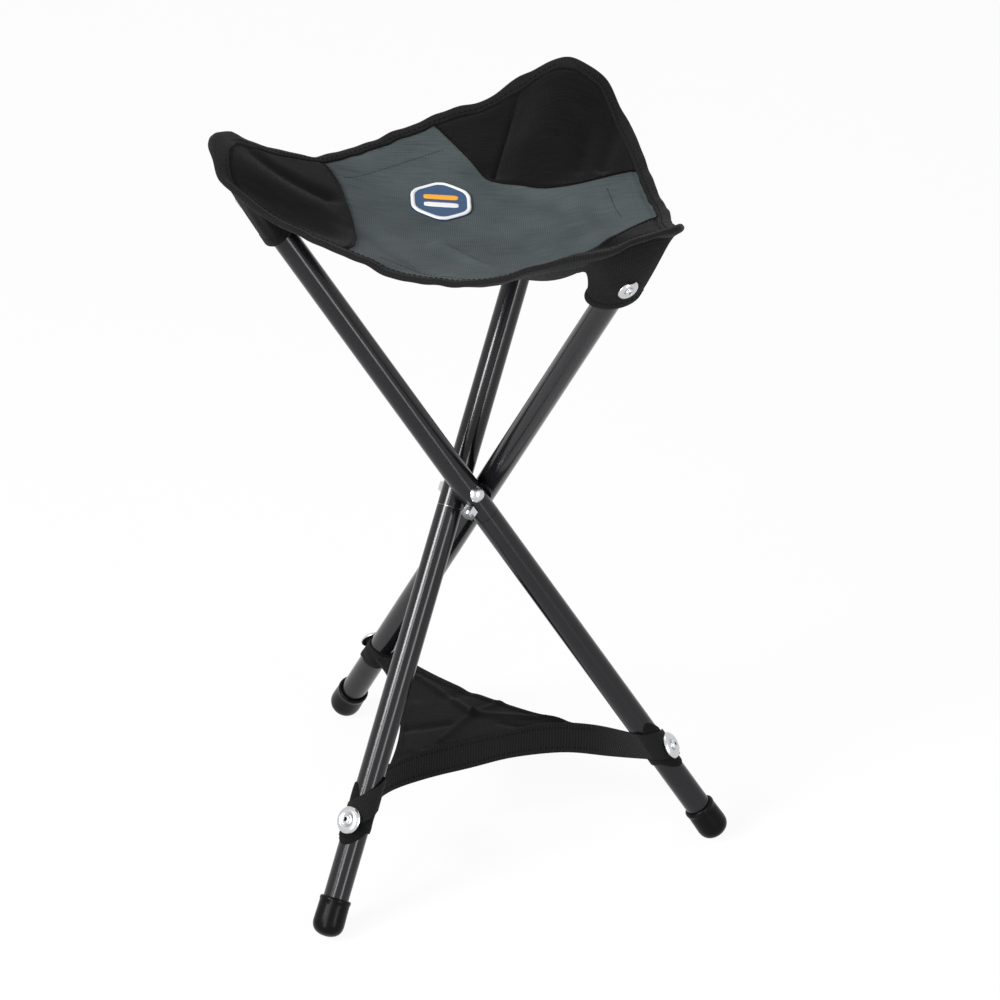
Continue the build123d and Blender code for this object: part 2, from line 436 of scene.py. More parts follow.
@dataclass(frozen=True)
class WovenCloth(Finish):
    """Plain-woven polyester: matt, with crossing threads, slubs along the warp and a little sheen.

    Attributes:
        thread_mm: Thread spacing, drawn coarser than the real 0.5 mm so that it shows.
        slub_mm: Length of the streaks along the warp.
        cloud_mm: Size of the clouds in its colour.
    """

    depth_mm: float = 0.2
    specular: float = 0.08
    sheen: float = 0.05
    thread_mm: float = 1.5
    slub_mm: float = 26.0
    cloud_mm: float = 45.5

    def pattern(self, tree: Tree) -> Pattern:
        """Adds the threads, the slubs and the clouds.

        Args:
            tree: Tree of the material.

        Returns:
            Outputs for the tint, the roughness and the relief.
        """
        place = add_node(tree, "ShaderNodeUVMap", uv_map="UVMap").outputs[0]
        bands = bands_per_metre(self.thread_mm)
        wave = {"Vector": place, "Scale": bands, "Distortion": 0.6, "Detail": 1.0, "Detail Scale": 0.4}
        warp = add_node(tree, WAVE, wave, bands_direction="X")
        weft = add_node(tree, WAVE, wave, bands_direction="Y")
        weave = add_node(tree, MATHS, {0: warp.outputs[1], 1: weft.outputs[1]}, operation="MULTIPLY")
        stretch = (per_metre(self.slub_mm), per_metre(self.thread_mm), 1.0)
        along = add_node(tree, "ShaderNodeMapping", {"Vector": place, "Scale": stretch})
        slub = add_node(tree, NOISE, {"Vector": along.outputs[0], "Scale": 1.0, "Detail": 3.0})
        cloud = add_node(tree, NOISE, {"Vector": place, "Scale": per_metre(self.cloud_mm), "Detail": 5.0})
        tone = add_node(tree, MATHS, {0: slub.outputs[0], 1: cloud.outputs[0]}, operation="MULTIPLY")
        # The product of two noises stays well within 0 and 1, so it is spread out
        tint = add_node(tree, SPAN, {0: tone.outputs[0], 1: 0.12, 2: 0.42})
        height = add_node(tree, MATHS, {0: weave.outputs[0], 1: slub.outputs[0]}, operation="ADD")
        return tint.outputs[0], slub.outputs[0], height.outputs[0]


@dataclass(frozen=True)
class RibbedTape(Finish):
    """Woven nylon tape: black, with ribs across its length, painted shade between them and a slight gloss on
    each rib.

    Attributes:
        rib_mm: Rib spacing along the tape.
        fuzz_mm: Size of the loose fibres' fuzz.
    """

    uneven: Pair = (-0.1, 0.08)
    depth_mm: float = 0.35
    specular: float = 0.12
    sheen: float = 0.02
    rib_mm: float = 1.9
    fuzz_mm: float = 1.11

    def pattern(self, tree: Tree) -> Pattern:
        """Adds the ribs, the painted shade between them and the fuzz.

        Args:
            tree: Tree of the material.

        Returns:
            Outputs for the tint, the roughness and the relief.
        """
        place = add_node(tree, "ShaderNodeUVMap", uv_map="UVMap").outputs[0]
        wave = {"Vector": place, "Scale": bands_per_metre(self.rib_mm), "Distortion": 0.8, "Detail": 2.0}
        ribs = add_node(tree, WAVE, wave, bands_direction="X")
        fuzz = add_node(tree, NOISE, {"Vector": place, "Scale": per_metre(self.fuzz_mm), "Detail": 3.0})
        height = add_node(tree, MATHS, {0: ribs.outputs[1], 1: fuzz.outputs[0]}, operation="ADD")
        # Painted shade: the darker second colour fills the hollows between the ribs
        tint = add_node(tree, SPAN, {0: ribs.outputs[1], 3: 1.0, 4: 0.0})
        return tint.outputs[0], fuzz.outputs[0], height.outputs[0]


@dataclass(frozen=True)
class MouldedVinyl(Finish):
    """Soft moulded vinyl: an even colour with a slight gloss and a faint orange peel.

    Attributes:
        peel_mm: Size of the orange peel.
        cloud_mm: Size of the faint clouds in its colour.
    """

    specular: float = 0.4
    peel_mm: float = 1.43
    cloud_mm: float = 11.1

    def pattern(self, tree: Tree) -> Pattern:
        """Adds the clouds and the orange peel.

        Args:
            tree: Tree of the material.

        Returns:
            Outputs for the tint, the roughness and the relief.
        """
        place = add_node(tree, "ShaderNodeUVMap", uv_map="UVMap").outputs[0]
        peel = add_node(tree, NOISE, {"Vector": place, "Scale": per_metre(self.peel_mm), "Detail": 2.0})
        cloud = add_node(tree, NOISE, {"Vector": place, "Scale": per_metre(self.cloud_mm), "Detail": 3.0})
        return cloud.outputs[0], cloud.outputs[0], peel.outputs[0]


class Palette:
    """Every material of the stool, made once."""

    def __init__(self) -> None:
        """Builds the materials."""
        rubber = {"depth_mm": 0.015, "specular": 0.09}
        plastic = {"depth_mm": 0.02, "grain_mm": 0.6}
        thread = {"depth_mm": 0.05, "specular": 0.06, "grain_mm": 0.4}
        black = {"depth_mm": 0.28, "sheen": 0.035, "thread_mm": 1.4, "slub_mm": 22.0}
        webbing = {"depth_mm": 0.4, "rib_mm": 2.2}
        self.paint = GlossPaint("stoved_gloss_paint", "#0f0f12", "#151518", 0.17).make()
        self.steel = BrightSteel("bright_zinc_plated_steel", "#d5d6d8", "#b9babd", 0.22).make()
        self.bare = BrightSteel("drawn_aluminium", "#a9abae", "#8f9194", 0.35).make()
        self.rubber = MouldedBlack("moulded_rubber", "#040405", "#0a0a0b", 0.3, **rubber).make()
        self.plastic = MouldedBlack("moulded_polypropylene", "#121213", "#18181a", 0.42, **plastic).make()
        self.panel = WovenCloth("woven_polyester_slate", "#4d5456", "#384042", 0.85).make()
        self.black = WovenCloth("woven_polyester_black", "#0f0f10", "#050506", 0.88, **black).make()
        # The second colour of the tape and of the webbing is painted shade between their ribs
        self.tape = RibbedTape("woven_nylon_tape", "#131315", "#060607", 0.72).make()
        self.webbing = RibbedTape("woven_nylon_webbing", "#131314", "#060607", 0.7, **webbing).make()
        self.thread = MouldedBlack("bonded_polyester_thread", "#0c0c0d", "#151516", 0.6, **thread).make()
        self.navy = MouldedVinyl("moulded_vinyl_navy", "#1f4468", "#1b3d5f", 0.42).make()
        self.white = MouldedVinyl("moulded_vinyl_white", "#e6e7e8", "#dcdddf", 0.42).make()
        self.amber = MouldedVinyl("moulded_vinyl_amber", "#eda42a", "#e09a25", 0.42).make()


# Meshes


class MeshMaker:
    """Gathers points, faces and texture places, and turns them into one object."""

    # Distance within which points are joined, in metres
    weld_m = 2e-6

    def __init__(self, name: str) -> None:
        """Starts an empty mesh.

        Args:
            name: Name of the object.
        """
        self.name = name
        self.points: list[Array] = []
        self.places: list[Array] = []
        self.faces: list[tuple[int, ...]] = []
        self.slots: list[int] = []
        self.count = 0

    def add_points(self, points: Array, places: Array) -> int:
        """Adds points.

        Args:
            points: Points in millimetres, in any grid shape.
            places: Texture places in millimetres, in the same shape.

        Returns:
            Number of the first new point.
        """
        first = self.count
        self.points.append(points.reshape(-1, 3))
        self.places.append(places.reshape(-1, 2))
        self.count += self.points[-1].shape[0]
        return first

    def add_cap(self, points: Array, places: Array) -> None:
        """Adds one face with all the points as its corners.

        Args:
            points: Points in order round the face.
            places: Texture places of the points.
        """
        first = self.add_points(points, places)
        self.faces.append(tuple(range(first, first + len(points))))
        self.slots.append(0)

    def add_grid(
        self,
        points: Array,
        places: Array,
        ring: bool = False,
        flip: bool = False,
        slots: Sequence[int] = (),
    ) -> None:
        """Adds a grid of four-sided faces.

        Args:
            points: Grid of points, rows by columns by three.
            places: Texture places of the points.
            ring: True if the last row joins the first.
            flip: True to turn the faces over.
            slots: Material slot of each column of faces, or nothing for the first slot.
        """
        rows, columns = points.shape[:2]
        first = self.add_points(points, places)
        for i in range(rows if ring else rows - 1):
            here, there = first + i * columns, first + (i + 1) % rows * columns
            for j in range(columns - 1):
                face = (here + j, there + j, there + j + 1, here + j + 1)
                self.faces.append(face[::-1] if flip else face)
                self.slots.append(slots[j] if len(slots) else 0)

    def add_shell(self, top: Array, under: Array, places: Array) -> None:
        """Adds a closed sheet between two grids.

        Args:
            top: Upper grid of points.
            under: Lower grid of points, in the same order.
            places: Texture places of both.
        """
        self.add_grid(top, places)
        self.add_grid(under, places, flip=True)
        edge = [np.s_[:, 0], np.s_[-1, :], np.s_[::-1, -1], np.s_[0, ::-1]]
        loops = [np.concatenate([grid[part][:-1] for part in edge]) for grid in (top, under, places)]
        wall = np.stack(loops[:2], axis=1)
        self.add_grid(wall, np.stack([loops[2], loops[2]], axis=1), ring=True, flip=True)

    def add_sleeve(self, outer: Array, inner: Array, places: Array) -> None:
        """Adds a closed sleeve between two rings of points.

        Args:
            outer: Outer grid, with its rows going round.
            inner: Inner grid, in the same order.
            places: Texture places of both.
        """
        self.add_grid(outer, places, ring=True)
        self.add_grid(inner, places, ring=True, flip=True)
        for column in (0, -1):
            wall = np.stack([outer[:, column], inner[:, column]], axis=1)
            rim = np.stack([places[:, column], places[:, column]], axis=1)
            self.add_grid(wall, rim, ring=True, flip=column == 0)

    def add_turned(
        self,
        centre: Array,
        axis: Array,
        section: Array,
        count: int = 48,
        slots: Sequence[int] = (),
        floor: float | None = None,
    ) -> None:
        """Adds a turned form.

        Args:
            centre: Place on the axis where heights start.
            axis: Direction of the axis.
            section: Radius and height of each place along the section.
            count: Number of steps round.
            slots: Material slot of each step along the section.
            floor: Height that no point goes under, or nothing.
        """
        # A direction that no turned piece's axis has
        askew = UPRIGHT + np.array([0.31, 0.17, 0.0])
        side = unit(np.cross(axis, askew))
        angle = ring_angles(count)
        ring = np.cos(angle)[:, None] * side + np.sin(angle)[:, None] * np.cross(axis, side)
        points = centre + ring[:, None, :] * section[None, :, :1] + axis * section[None, :, 1:]
        if floor is not None:
            points[..., 2] = np.maximum(points[..., 2], floor)
        places = grid_places(angle * section[:, 0].max(), arc_length(section))
        self.add_grid(points, places, ring=True, slots=slots)

    def build(
        self,
        *materials: Material,
        sharp: float = 50.0,
        weld: bool = True,
        cut: Pair | None = None,
    ) -> Piece:
        """Makes the object.

        Args:
            materials: Material of each slot.
            sharp: Angle over which an edge stays sharp, in degrees.
            weld: True to join points in one place.
            cut: Side in y that is kept, 1 or -1, and the place of the cut, or nothing.

        Returns:
            The object, linked to the scene.
        """
        mesh = bpy.data.meshes.new(self.name)
        mesh.from_pydata((np.concatenate(self.points) * MM).tolist(), [], self.faces)
        layer = mesh.uv_layers.new(name="UVMap")
        places = np.concatenate(self.places) * MM
        corners = np.empty(len(mesh.loops), dtype=np.int32)
        mesh.loops.foreach_get("vertex_index", corners)
        layer.data.foreach_set("uv", places[corners].astype(np.float32).ravel())
        mesh.polygons.foreach_set("material_index", np.array(self.slots, dtype=np.int32))
        work = bmesh.new()
        work.from_mesh(mesh)
        if weld:
            bmesh.ops.remove_doubles(work, verts=work.verts, dist=self.weld_m)
        if cut:
            side, place = cut
            parts = work.verts[:] + work.edges[:] + work.faces[:]
            plane = {"plane_co": (0.0, place * MM, 0.0), "plane_no": (0.0, -side, 0.0)}
            bmesh.ops.bisect_plane(work, geom=parts, clear_outer=True, **plane)
            bmesh.ops.holes_fill(work, edges=[edge for edge in work.edges if edge.is_boundary], sides=0)
        bmesh.ops.recalc_face_normals(work, faces=work.faces)
        work.to_mesh(mesh)
        work.free()
        for material in materials:
            mesh.materials.append(material)
        mesh.shade_smooth()
        mesh.set_sharp_from_angle(angle=radians(sharp))
        piece = bpy.data.objects.new(self.name, mesh)
        bpy.context.scene.collection.objects.link(piece)
        log.info("made %s with %d faces", self.name, len(mesh.polygons))
        return piece


def bend(piece: Piece) -> None:
    """Bakes a piece's placement into its mesh.

    Args:
        piece: Piece of fabric beside the spine.
    """
    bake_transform(piece)


# Seat


@dataclass(frozen=True)
class Crease:
    """A soft ridge or fold along a line.

    Attributes:
        start: One end in plan, from the hub axis.
        end: Other end.
        width: Half width.
        depth: Height at its middle, negative for a fold.
    """

    start: Pair
    end: Pair
    width: float
    depth: float

    def lift(self, x: Array, y: Array) -> Array:
        """Height that the crease adds.

        Args:
            x, y: Places from the hub axis.

        Returns:
            Height at each place.
        """
        run_x, run_y = self.end[0] - self.start[0], self.end[1] - self.start[1]
        share = ((x - self.start[0]) * run_x + (y - self.start[1]) * run_y) / (run_x**2 + run_y**2)
        share = np.clip(share, 0, 1)
        away = (x - self.start[0] - share * run_x) ** 2 + (y - self.start[1] - share * run_y) ** 2
        return self.depth * np.exp(-away / self.width**2)


class ClosedCurve:
    """A smooth closed curve through values given at angles."""

    def __init__(self, angles: Array, values: Array) -> None:
        """Sets the curve up.

        Args:
            angles: Rising angles in radians, within one turn.
            values: Values at the angles, one row each.
        """
        turn = 2 * pi
        self.angles = np.concatenate([angles[-2:] - turn, angles, angles[:2] + turn])
        self.values = np.concatenate([values[-2:], values, values[:2]])
        steps = np.diff(self.angles)[:, None]
        slopes = np.diff(self.values, axis=0) / steps
        self.slopes = (slopes[:-1] * steps[1:] + slopes[1:] * steps[:-1]) / (steps[1:] + steps[:-1])

    def at(self, angle: Array) -> Array:
        """Values at angles.

        Args:
            angle: Angles in radians.

        Returns:
            Values with one more axis than the angles.
        """
        low = self.angles[2]
        angle = low + np.mod(np.asarray(angle, dtype=float) - low, 2 * pi)
        k = np.clip(np.searchsorted(self.angles, angle, side="right") - 1, 1, len(self.angles) - 3)
        step = (self.angles[k + 1] - self.angles[k])[..., None]
        t = (angle[..., None] - self.angles[k][..., None]) / step
        start, end = self.values[k], self.values[k + 1]
        lead, tail = self.slopes[k - 1] * step, self.slopes[k] * step
        rise = t * t * (3 - 2 * t)
        return start + (end - start) * rise + lead * t * (1 - t) ** 2 - tail * t * t * (1 - t)


@dataclass(frozen=True)
class SlingShape:
    """Form of the seat's upper face, in millimetres from the hub axis and over the floor.

    Attributes:
        rim: Places along the rim, from the left corner along the front to the right and round the back.
        centre: Height of the middle.
        creases: Ridges over the leg ends, folds beside them and pulls across the panel.
        crease_hold: Power by which a crease dies out towards the taped rim.
        ripple: Height of the small waves along the rim.
        ripple_hold: Power by which they die out inside the rim.
        ripple_end: Share of the rim's radius past which they grow no more.
        ripple_waves: Height, waves per turn and phase of each of their waves.
        groove_depth: Depth of the groove where the tape is sewn down.
        groove_inset: Distance of the groove from the rim.
        groove_width: Half width of the groove.
    """

    rim: Triples = (
        (-189, 4, 567),
        (-191, -18, 564),
        (-187, -36, 556),
        (-174, -48, 549),
        (-144, -69, 537),
        (-103, -97, 530),
        (-61, -123, 523),
        (-28, -140, 528),
        (-5, -151, 534),
        (32, -166, 555),
        (71, -169, 566),
        (101, -155, 570),
        (131, -126, 565),
        (134, -88, 546),
        (133, -45, 526),
        (134, 5, 511),
        (128, 40, 510),
        (119, 90, 519),
        (107, 130, 532),
        (97, 145, 546),
        (81, 153, 556),
        (66, 157, 558),
        (39, 157, 546),
        (15, 155, 529),
        (-20, 143, 522),
        (-40, 133, 518),
        (-78, 113, 511),
        (-119, 86, 513),
        (-159, 56, 537),
        (-180, 28, 560),
    )
    centre: float = 493.0
    creases: tuple[Crease, ...] = (
        Crease((-176, -8), (-122, -14), 17.0, 10.0),
        Crease((-164, 26), (-112, 22), 9.0, -6.0),
        Crease((-150, -48), (-112, -46), 12.0, -3.0),
        Crease((70, 142), (52, 98), 25.0, 12.0),
        Crease((34, 148), (15, 84), 13.0, -5.0),
        Crease((33, 146), (13, 80), 2.6, -4.0),
        Crease((104, 118), (92, 74), 6.0, -4.0),
        Crease((84, 112), (74, 74), 5.0, -2.0),
        Crease((102, -140), (64, -88), 22.0, 9.0),
        Crease((122, -98), (92, -56), 10.0, -4.0),
        Crease((56, -146), (36, -98), 10.0, -3.0),
        Crease((-30, -20), (20, -93), 5.5, 3.4),
        Crease((-78, -20), (-40, -88), 9.0, -2.4),
        Crease((20, 60), (88, 20), 11.0, -2.6),
        Crease((70, 40), (84, -40), 8.0, 2.2),
        Crease((-80, 60), (10, 84), 9.0, -1.2),
        Crease((30, -20), (60, -70), 7.0, -2.0),
    )
    crease_hold: int = 12
    ripple: float = 0.65
    ripple_hold: int = 14
    ripple_end: float = 1.05
    ripple_waves: Triples = ((1.0, 19, 0.7), (0.7, 31, 2.1), (0.4, 47, 0.0))
    groove_depth: float = 0.9
    groove_inset: float = 10.2
    groove_width: float = 1.8

    def curve(self) -> ClosedCurve:
        """Curve of the rim.

        Returns:
            Radius and height against the angle in plan.
        """
        rim = np.array(self.rim)
        angle = np.unwrap(np.arctan2(rim[:, 1], rim[:, 0]))
        return ClosedCurve(angle, np.stack([np.hypot(rim[:, 0], rim[:, 1]), rim[:, 2]], axis=1))


class Sling:
    """The seat's surface, which every seat piece is laid on."""

    def __init__(self, shape: SlingShape) -> None:
        """Works the surface out.

        Args:
            shape: Form of the seat.
        """
        self.shape = shape
        self.curve = shape.curve()
        around = self.curve.at(np.linspace(-pi, pi, 360, endpoint=False))
        self.mean_lift = float(around[:, 1].mean()) - shape.centre

    def radius(self, angle: Array) -> Array:
        """Rim radius at angles in plan."""
        return self.curve.at(angle)[..., 0]

    def rim(self, angle: Array, inset: float | Array = 0.0) -> tuple[Array, Array]:
        """Places on the rim, or inside it.

        Args:
            angle: Angles in plan.
            inset: Distances from the rim, square to it.

        Returns:
            x and y from the hub axis.
        """
        small = 1e-3
        radius = self.radius(angle)
        slope = (self.radius(angle + small) - self.radius(angle - small)) / (2 * small)
        out = np.stack([np.cos(angle), np.sin(angle)])
        side = np.stack([-np.sin(angle), np.cos(angle)])
        normal = out * radius - side * slope
        normal = normal / np.linalg.norm(normal, axis=0)
        return tuple(out * radius - normal * inset)

    def height(self, x: Array, y: Array) -> Array:
        """Height of the upper face.

        Args:
            x, y: Places from the hub axis.

        Returns:
            Height over the floor at each place.
        """
        shape = self.shape
        angle = np.arctan2(y, x)
        rim = self.curve.at(angle)
        share = np.hypot(x, y) / rim[..., 0]
        lift = rim[..., 1] - shape.centre
        base = shape.centre + self.mean_lift * share**2 + (lift - self.mean_lift) * share**3
        at_rim = np.minimum(share, shape.ripple_end) ** shape.ripple_hold
        base = base + shape.ripple * waves(angle, shape.ripple_waves) * at_rim
        # The cloth sinks where the tape is sewn down
        inset = (1 - share) * rim[..., 0]
        base = base - shape.groove_depth * hump(inset, shape.groove_inset, shape.groove_width)
        # The tape holds the rim to its own line, so a crease dies out there
        free = 1 - np.minimum(share, 1.0) ** shape.crease_hold
        for crease in shape.creases:
            base = base + crease.lift(x, y) * free
        return base

    def within(self, x: Array, y: Array, inset: float) -> tuple[Array, Array]:
        """Draws places outside the rim back inside it.

        Args:
            x, y: Places from the hub axis.
            inset: Distance that they keep from the rim.

        Returns:
            x and y of the places.
        """
        reach = np.hypot(x, y)
        most = self.radius(np.arctan2(y, x)) - inset
        keep = np.minimum(1.0, most / reach)
        return x * keep, y * keep

    def on(self, x: Array, y: Array, lift: float | Array = 0.0) -> Array:
        """Points on the seat.

        Args:
            x, y: Places from the hub axis.
            lift: Distances over the upper face, square to it.

        Returns:
            Points in the shared frame.
        """
        x, y = np.broadcast_arrays(np.asarray(x, dtype=float), np.asarray(y, dtype=float))
        step = 0.5
        slope_x = (self.height(x + step, y) - self.height(x - step, y)) / (2 * step)
        slope_y = (self.height(x, y + step) - self.height(x, y - step)) / (2 * step)
        normal = unit(np.stack([-slope_x, -slope_y, np.ones_like(slope_x)], axis=-1))
        flat = np.stack([x + HUB[0], y + HUB[1], self.height(x, y)], axis=-1)
        return flat + normal * np.broadcast_to(np.asarray(lift, dtype=float), x.shape)[..., None]


@dataclass(frozen=True)
class StitchRow:
    """A row of lockstitch.

    Attributes:
        length: Length of a stitch.
        gap: Gap between stitches.
        thick: Thread radius, drawn a little heavy so that it shows.
        sides: Sides of the thread.
        bow: Share of the stitch, then height and thickness there as shares of the thread radius.
    """

    length: float = 2.9
    gap: float = 1.3
    thick: float = 0.32
    sides: int = 6
    bow: Triples = (
        (0.0, -0.5, 0.55),
        (0.18, 0.55, 0.95),
        (0.5, 0.9, 1.0),
        (0.82, 0.55, 0.95),
        (1.0, -0.5, 0.55),
    )

    def sew(self, maker: MeshMaker, path: Array, normal: Array) -> None:
        """Adds the stitches along a path.

        Args:
            maker: Mesh that takes them.
            path: Points along the row, on the fabric.
            normal: Directions out of the fabric at the points.
        """
        run = arc_length(path)
        shares, sink, swell = np.array(self.bow).T
        sink, swell = sink * self.thick, swell * self.thick
        turn = ring_angles(self.sides)[:, None, None]
        for start in np.arange(0, run[-1] - self.length, self.length + self.gap):
            spots = start + shares * self.length
            spine = resample(spots, run, path)
            out = resample(spots, run, normal)
            across = unit(np.cross(spine[-1] - spine[0], out))
            spine = spine + out * sink[:, None]
            rings = spine[None] + (np.cos(turn) * across + np.sin(turn) * out) * swell[None, :, None]
            places = np.broadcast_to(spots[None, :, None], (*rings.shape[:2], 2))
            maker.add_grid(rings, places, ring=True)
            for column in (0, -1):
                maker.add_cap(rings[:, column], places[:, column])


@dataclass(frozen=True)
class PatchEdge:
    """Inner edge of a corner patch.

    Attributes:
        leg: Leg under the corner.
        edge: Places along the edge from the hub axis, by rising angle.
        count: Number of places on its smooth line.
    """

    leg: Leg
    edge: Pairs
    count: int = 160

    def trace(self) -> tuple[Array, Array]:
        """Smooth line along the edge.

        Returns:
            x and y from the hub axis.
        """
        points = np.array(self.edge, dtype=float)
        run = arc_length(points)
        line = resample(np.linspace(0, run[-1], self.count), run, points)
        for _ in range(self.count // 3):
            line = relax(line)
        return line[:, 0], line[:, 1]


@dataclass
class EdgeTape:
    """The tape folded over the rim of the seat, gathered into a knob where two lengths meet.

    Attributes:
        sling: Surface that it is sewn to.
        section: Distance in from the rim and over the upper face, round the fold to the lower face.
        ruler: Number of the section's place that measures the tape's length.
        left_knob: Half width of the knob at the left corner, in radians.
        knob: Half width of the two other knobs.
        knob_size: Their size as a share of the left one's.
        knob_growth: Distance that the left knob stands out of the rim.
        knob_swell: Share by which it is thicker than the tape.
        fold: Distance from the rim within which the tape is folded.
        wander: Height, waves per turn and phase of the sewn edge's waves.
        wander_start: Distance from the rim where they start.
        wander_ease: Distance over which they grow.
        flare: Share by which the tape is wider beside the right corner.
        flare_at: Angle of the widest place before that corner, in radians.
        flare_width: Half width of the wide stretch, in radians.
        steps: Steps along the tape for each radian.
        fewest: Fewest steps in a length of tape.
    """

    sling: Sling
    section: Pairs = (
        (8.6, 0.2),
        (8.3, 1.5),
        (7.4, 1.9),
        (6.0, 1.75),
        (3.5, 1.8),
        (1.2, 1.75),
        (-0.2, 1.2),
        (-0.9, 0.2),
        (-0.9, -1.4),
        (-0.2, -2.3),
        (1.2, -2.8),
        (3.5, -2.9),
        (6.0, -2.8),
        (7.6, -2.9),
        (8.6, -2.5),
        (8.6, -1.3),
    )
    ruler: int = 4
    left_knob: float = 0.075
    knob: float = 0.05
    knob_size: float = 0.45
    knob_growth: float = 3.5
    knob_swell: float = 0.8
    fold: float = 1.5
    wander: Triples = ((0.5, 37, 0.0), (0.35, 61, 1.0))
    wander_start: float = 5.0
    wander_ease: float = 7.0
    flare: float = 0.5
    flare_at: float = 0.35
    flare_width: float = 0.45
    steps: int = 110
    fewest: int = 24

    @property
    def width(self) -> float:
        """Width of the tape on the upper face."""
        return self.section[0][0]

    def wrap(self, angle: Array, rear_tip: float, right_tip: float) -> Array:
        """Points of a length of tape.

        Args:
            angle: Angles in plan along it.
            rear_tip: Angle of the rear corner.
            right_tip: Angle of the right corner.

        Returns:
            Points with a row for each angle, over the fold.
        """
        inset, lift = np.array(self.section).T
        knob = hump(np.abs(angle), pi, self.left_knob)
        for tip in (rear_tip, right_tip):
            knob = knob + self.knob_size * hump(angle, tip, self.knob)
        knob = knob[:, None]
        ease = np.clip((inset - self.wander_start) / self.wander_ease, 0, 1)
        pull = ease * waves(angle, self.wander)[:, None]
        grown = np.where(inset < self.fold, inset - self.knob_growth * knob, inset + pull)
        wide = 1 + self.flare * hump(angle, right_tip - self.flare_at, self.flare_width)
        grown = grown * wide[:, None]
        x, y = self.sling.rim(angle[:, None] + 0 * grown, grown)
        return self.sling.on(x, y, lift * (1 + self.knob_swell * knob))

    def make(self, palette: Palette, name: str, span: Pair, tips: Pair) -> Piece:
        """Makes a length of tape.

        Args:
            palette: Materials.
            name: Name of the piece.
            span: First and last angle in plan.
            tips: Angles of the rear and the right corner.

        Returns:
            The piece.
        """
        angle = np.linspace(*span, max(int(abs(span[1] - span[0]) * self.steps), self.fewest))
        points = self.wrap(angle, *tips)
        places = grid_places(arc_length(points[:, self.ruler]), arc_length(points[len(angle) // 2]))
        maker = MeshMaker(name)
        closed = np.concatenate([points, points[:, :1]], axis=1)
        closing = places[:, -1:] + [0.0, 1.0]
        maker.add_grid(closed, np.concatenate([places, closing], axis=1))
        for row in (0, -1):
            maker.add_cap(points[row], places[row])
        return maker.build(palette.tape, sharp=75.0)


@dataclass
class SeatBadge:
    """The six-sided moulded badge on the seat, with a raised border and two bars.

    Attributes:
        sling: Surface that it is sewn to.
        middle: Its place in plan from the hub axis.
        across: Width across its flat sides.
        rounding: Share of each corner that is rounded off.
        section: Share of the way out and height over the seat, from the middle to the foot of the edge.
        border: First and last share of the white border.
        bar_size: Length and width of a bar.
        bar_section: The same as section, for a bar.
        bar_power: Squareness of a bar's ends, from 1, an oval, to 0.
        bars: Distance of each bar from the middle, towards the rear.
    """

    sling: Sling
    middle: Pair = (-27.0, 44.0)
    across: float = 44.0
    rounding: float = 7 / 12
    section: Pairs = (
        (0.0, 1.5),
        (0.3, 1.5),
        (0.6, 1.5),
        (0.8, 1.5),
        (0.84, 1.5),
        (0.86, 1.6),
        (0.875, 2.1),
        (0.95, 2.1),
        (0.975, 1.9),
        (0.995, 1.2),
        (1.0, 0.6),
        (1.0, 0.12),
    )
    border: Pair = (0.86, 0.985)
    bar_size: Pair = (25.0, 5.2)
    bar_section: Pairs = (
        (0.0, 2.2),
        (0.35, 2.2),
        (0.7, 2.2),
        (0.86, 2.15),
        (0.94, 2.05),
        (1.0, 1.85),
        (1.0, 1.45),
    )
    bar_power: float = 0.35
    bars: Pair = (4.6, -4.8)

    def raise_form(
        self,
        name: str,
        middle: Pair,
        outline: Array,
        section: Pairs,
        slots: Sequence[int] = (),
    ) -> MeshMaker:
        """Raises a closed form over the seat.

        Args:
            name: Name of the piece.
            middle: Its place in plan from the hub axis.
            outline: Places round the form, from its middle.
            section: Share of the way out and height over the seat.
            slots: Material slot of each step along the section.

        Returns:
            The form's mesh.
        """
        share, lift = np.array(section).T
        x = middle[0] + outline[:, :1] * share
        y = middle[1] + outline[:, 1:] * share
        places = np.stack([x, y], axis=-1)
        maker = MeshMaker(name)
        points = self.sling.on(x, y, lift)
        maker.add_grid(points, places, ring=True, slots=slots)
        maker.add_cap(points[:, -1], places[:, -1])
        return maker

    def plate(self, palette: Palette) -> Piece:
        """Makes the badge without its bars.

        Args:
            palette: Materials.

        Returns:
            The piece.
        """
        turn = ring_angles(96)
        sixth = pi / 6
        flat = (turn + sixth) % (2 * sixth) - sixth
        half = self.across / 2
        corner = half / cos(sixth) - half
        reach = half / np.cos(flat) - (np.abs(flat) / sixth) ** 5 * corner * self.rounding
        outline = np.stack([np.cos(turn), np.sin(turn)], axis=1) * reach[:, None]
        low, high = self.border
        slots = [1 if low <= share <= high else 0 for share, _ in self.section[:-1]]
        maker = self.raise_form("seat_badge_patch", self.middle, outline, self.section, slots)
        return maker.build(palette.navy, palette.white, sharp=60.0)

    def bar(self, name: str, offset: float, finish: Material) -> Piece:
        """Makes one raised bar of the badge.

        Args:
            name: Name of the piece.
            offset: Its distance from the badge's middle, towards the rear.
            finish: Its material.

        Returns:
            The piece.
        """
        turn = ring_angles(64)
        way = np.stack([np.cos(turn), np.sin(turn)], axis=1)
        outline = np.sign(way) * np.abs(way) ** self.bar_power * np.array(self.bar_size) / 2
        middle = (self.middle[0], self.middle[1] + offset)
        return self.raise_form(name, middle, outline, self.bar_section).build(finish, sharp=60.0)

    def make(self, palette: Palette) -> list[Piece]:
        """Makes the badge.

        Args:
            palette: Materials.

        Returns:
            Its plate, then its bars.
        """
        pieces = [self.plate(palette)]
        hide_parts("seat_badge")
        pieces.append(self.bar("seat_badge_bar_upper", self.bars[0], palette.amber))
        pieces.append(self.bar("seat_badge_bar_lower", self.bars[1], palette.white))
        return pieces


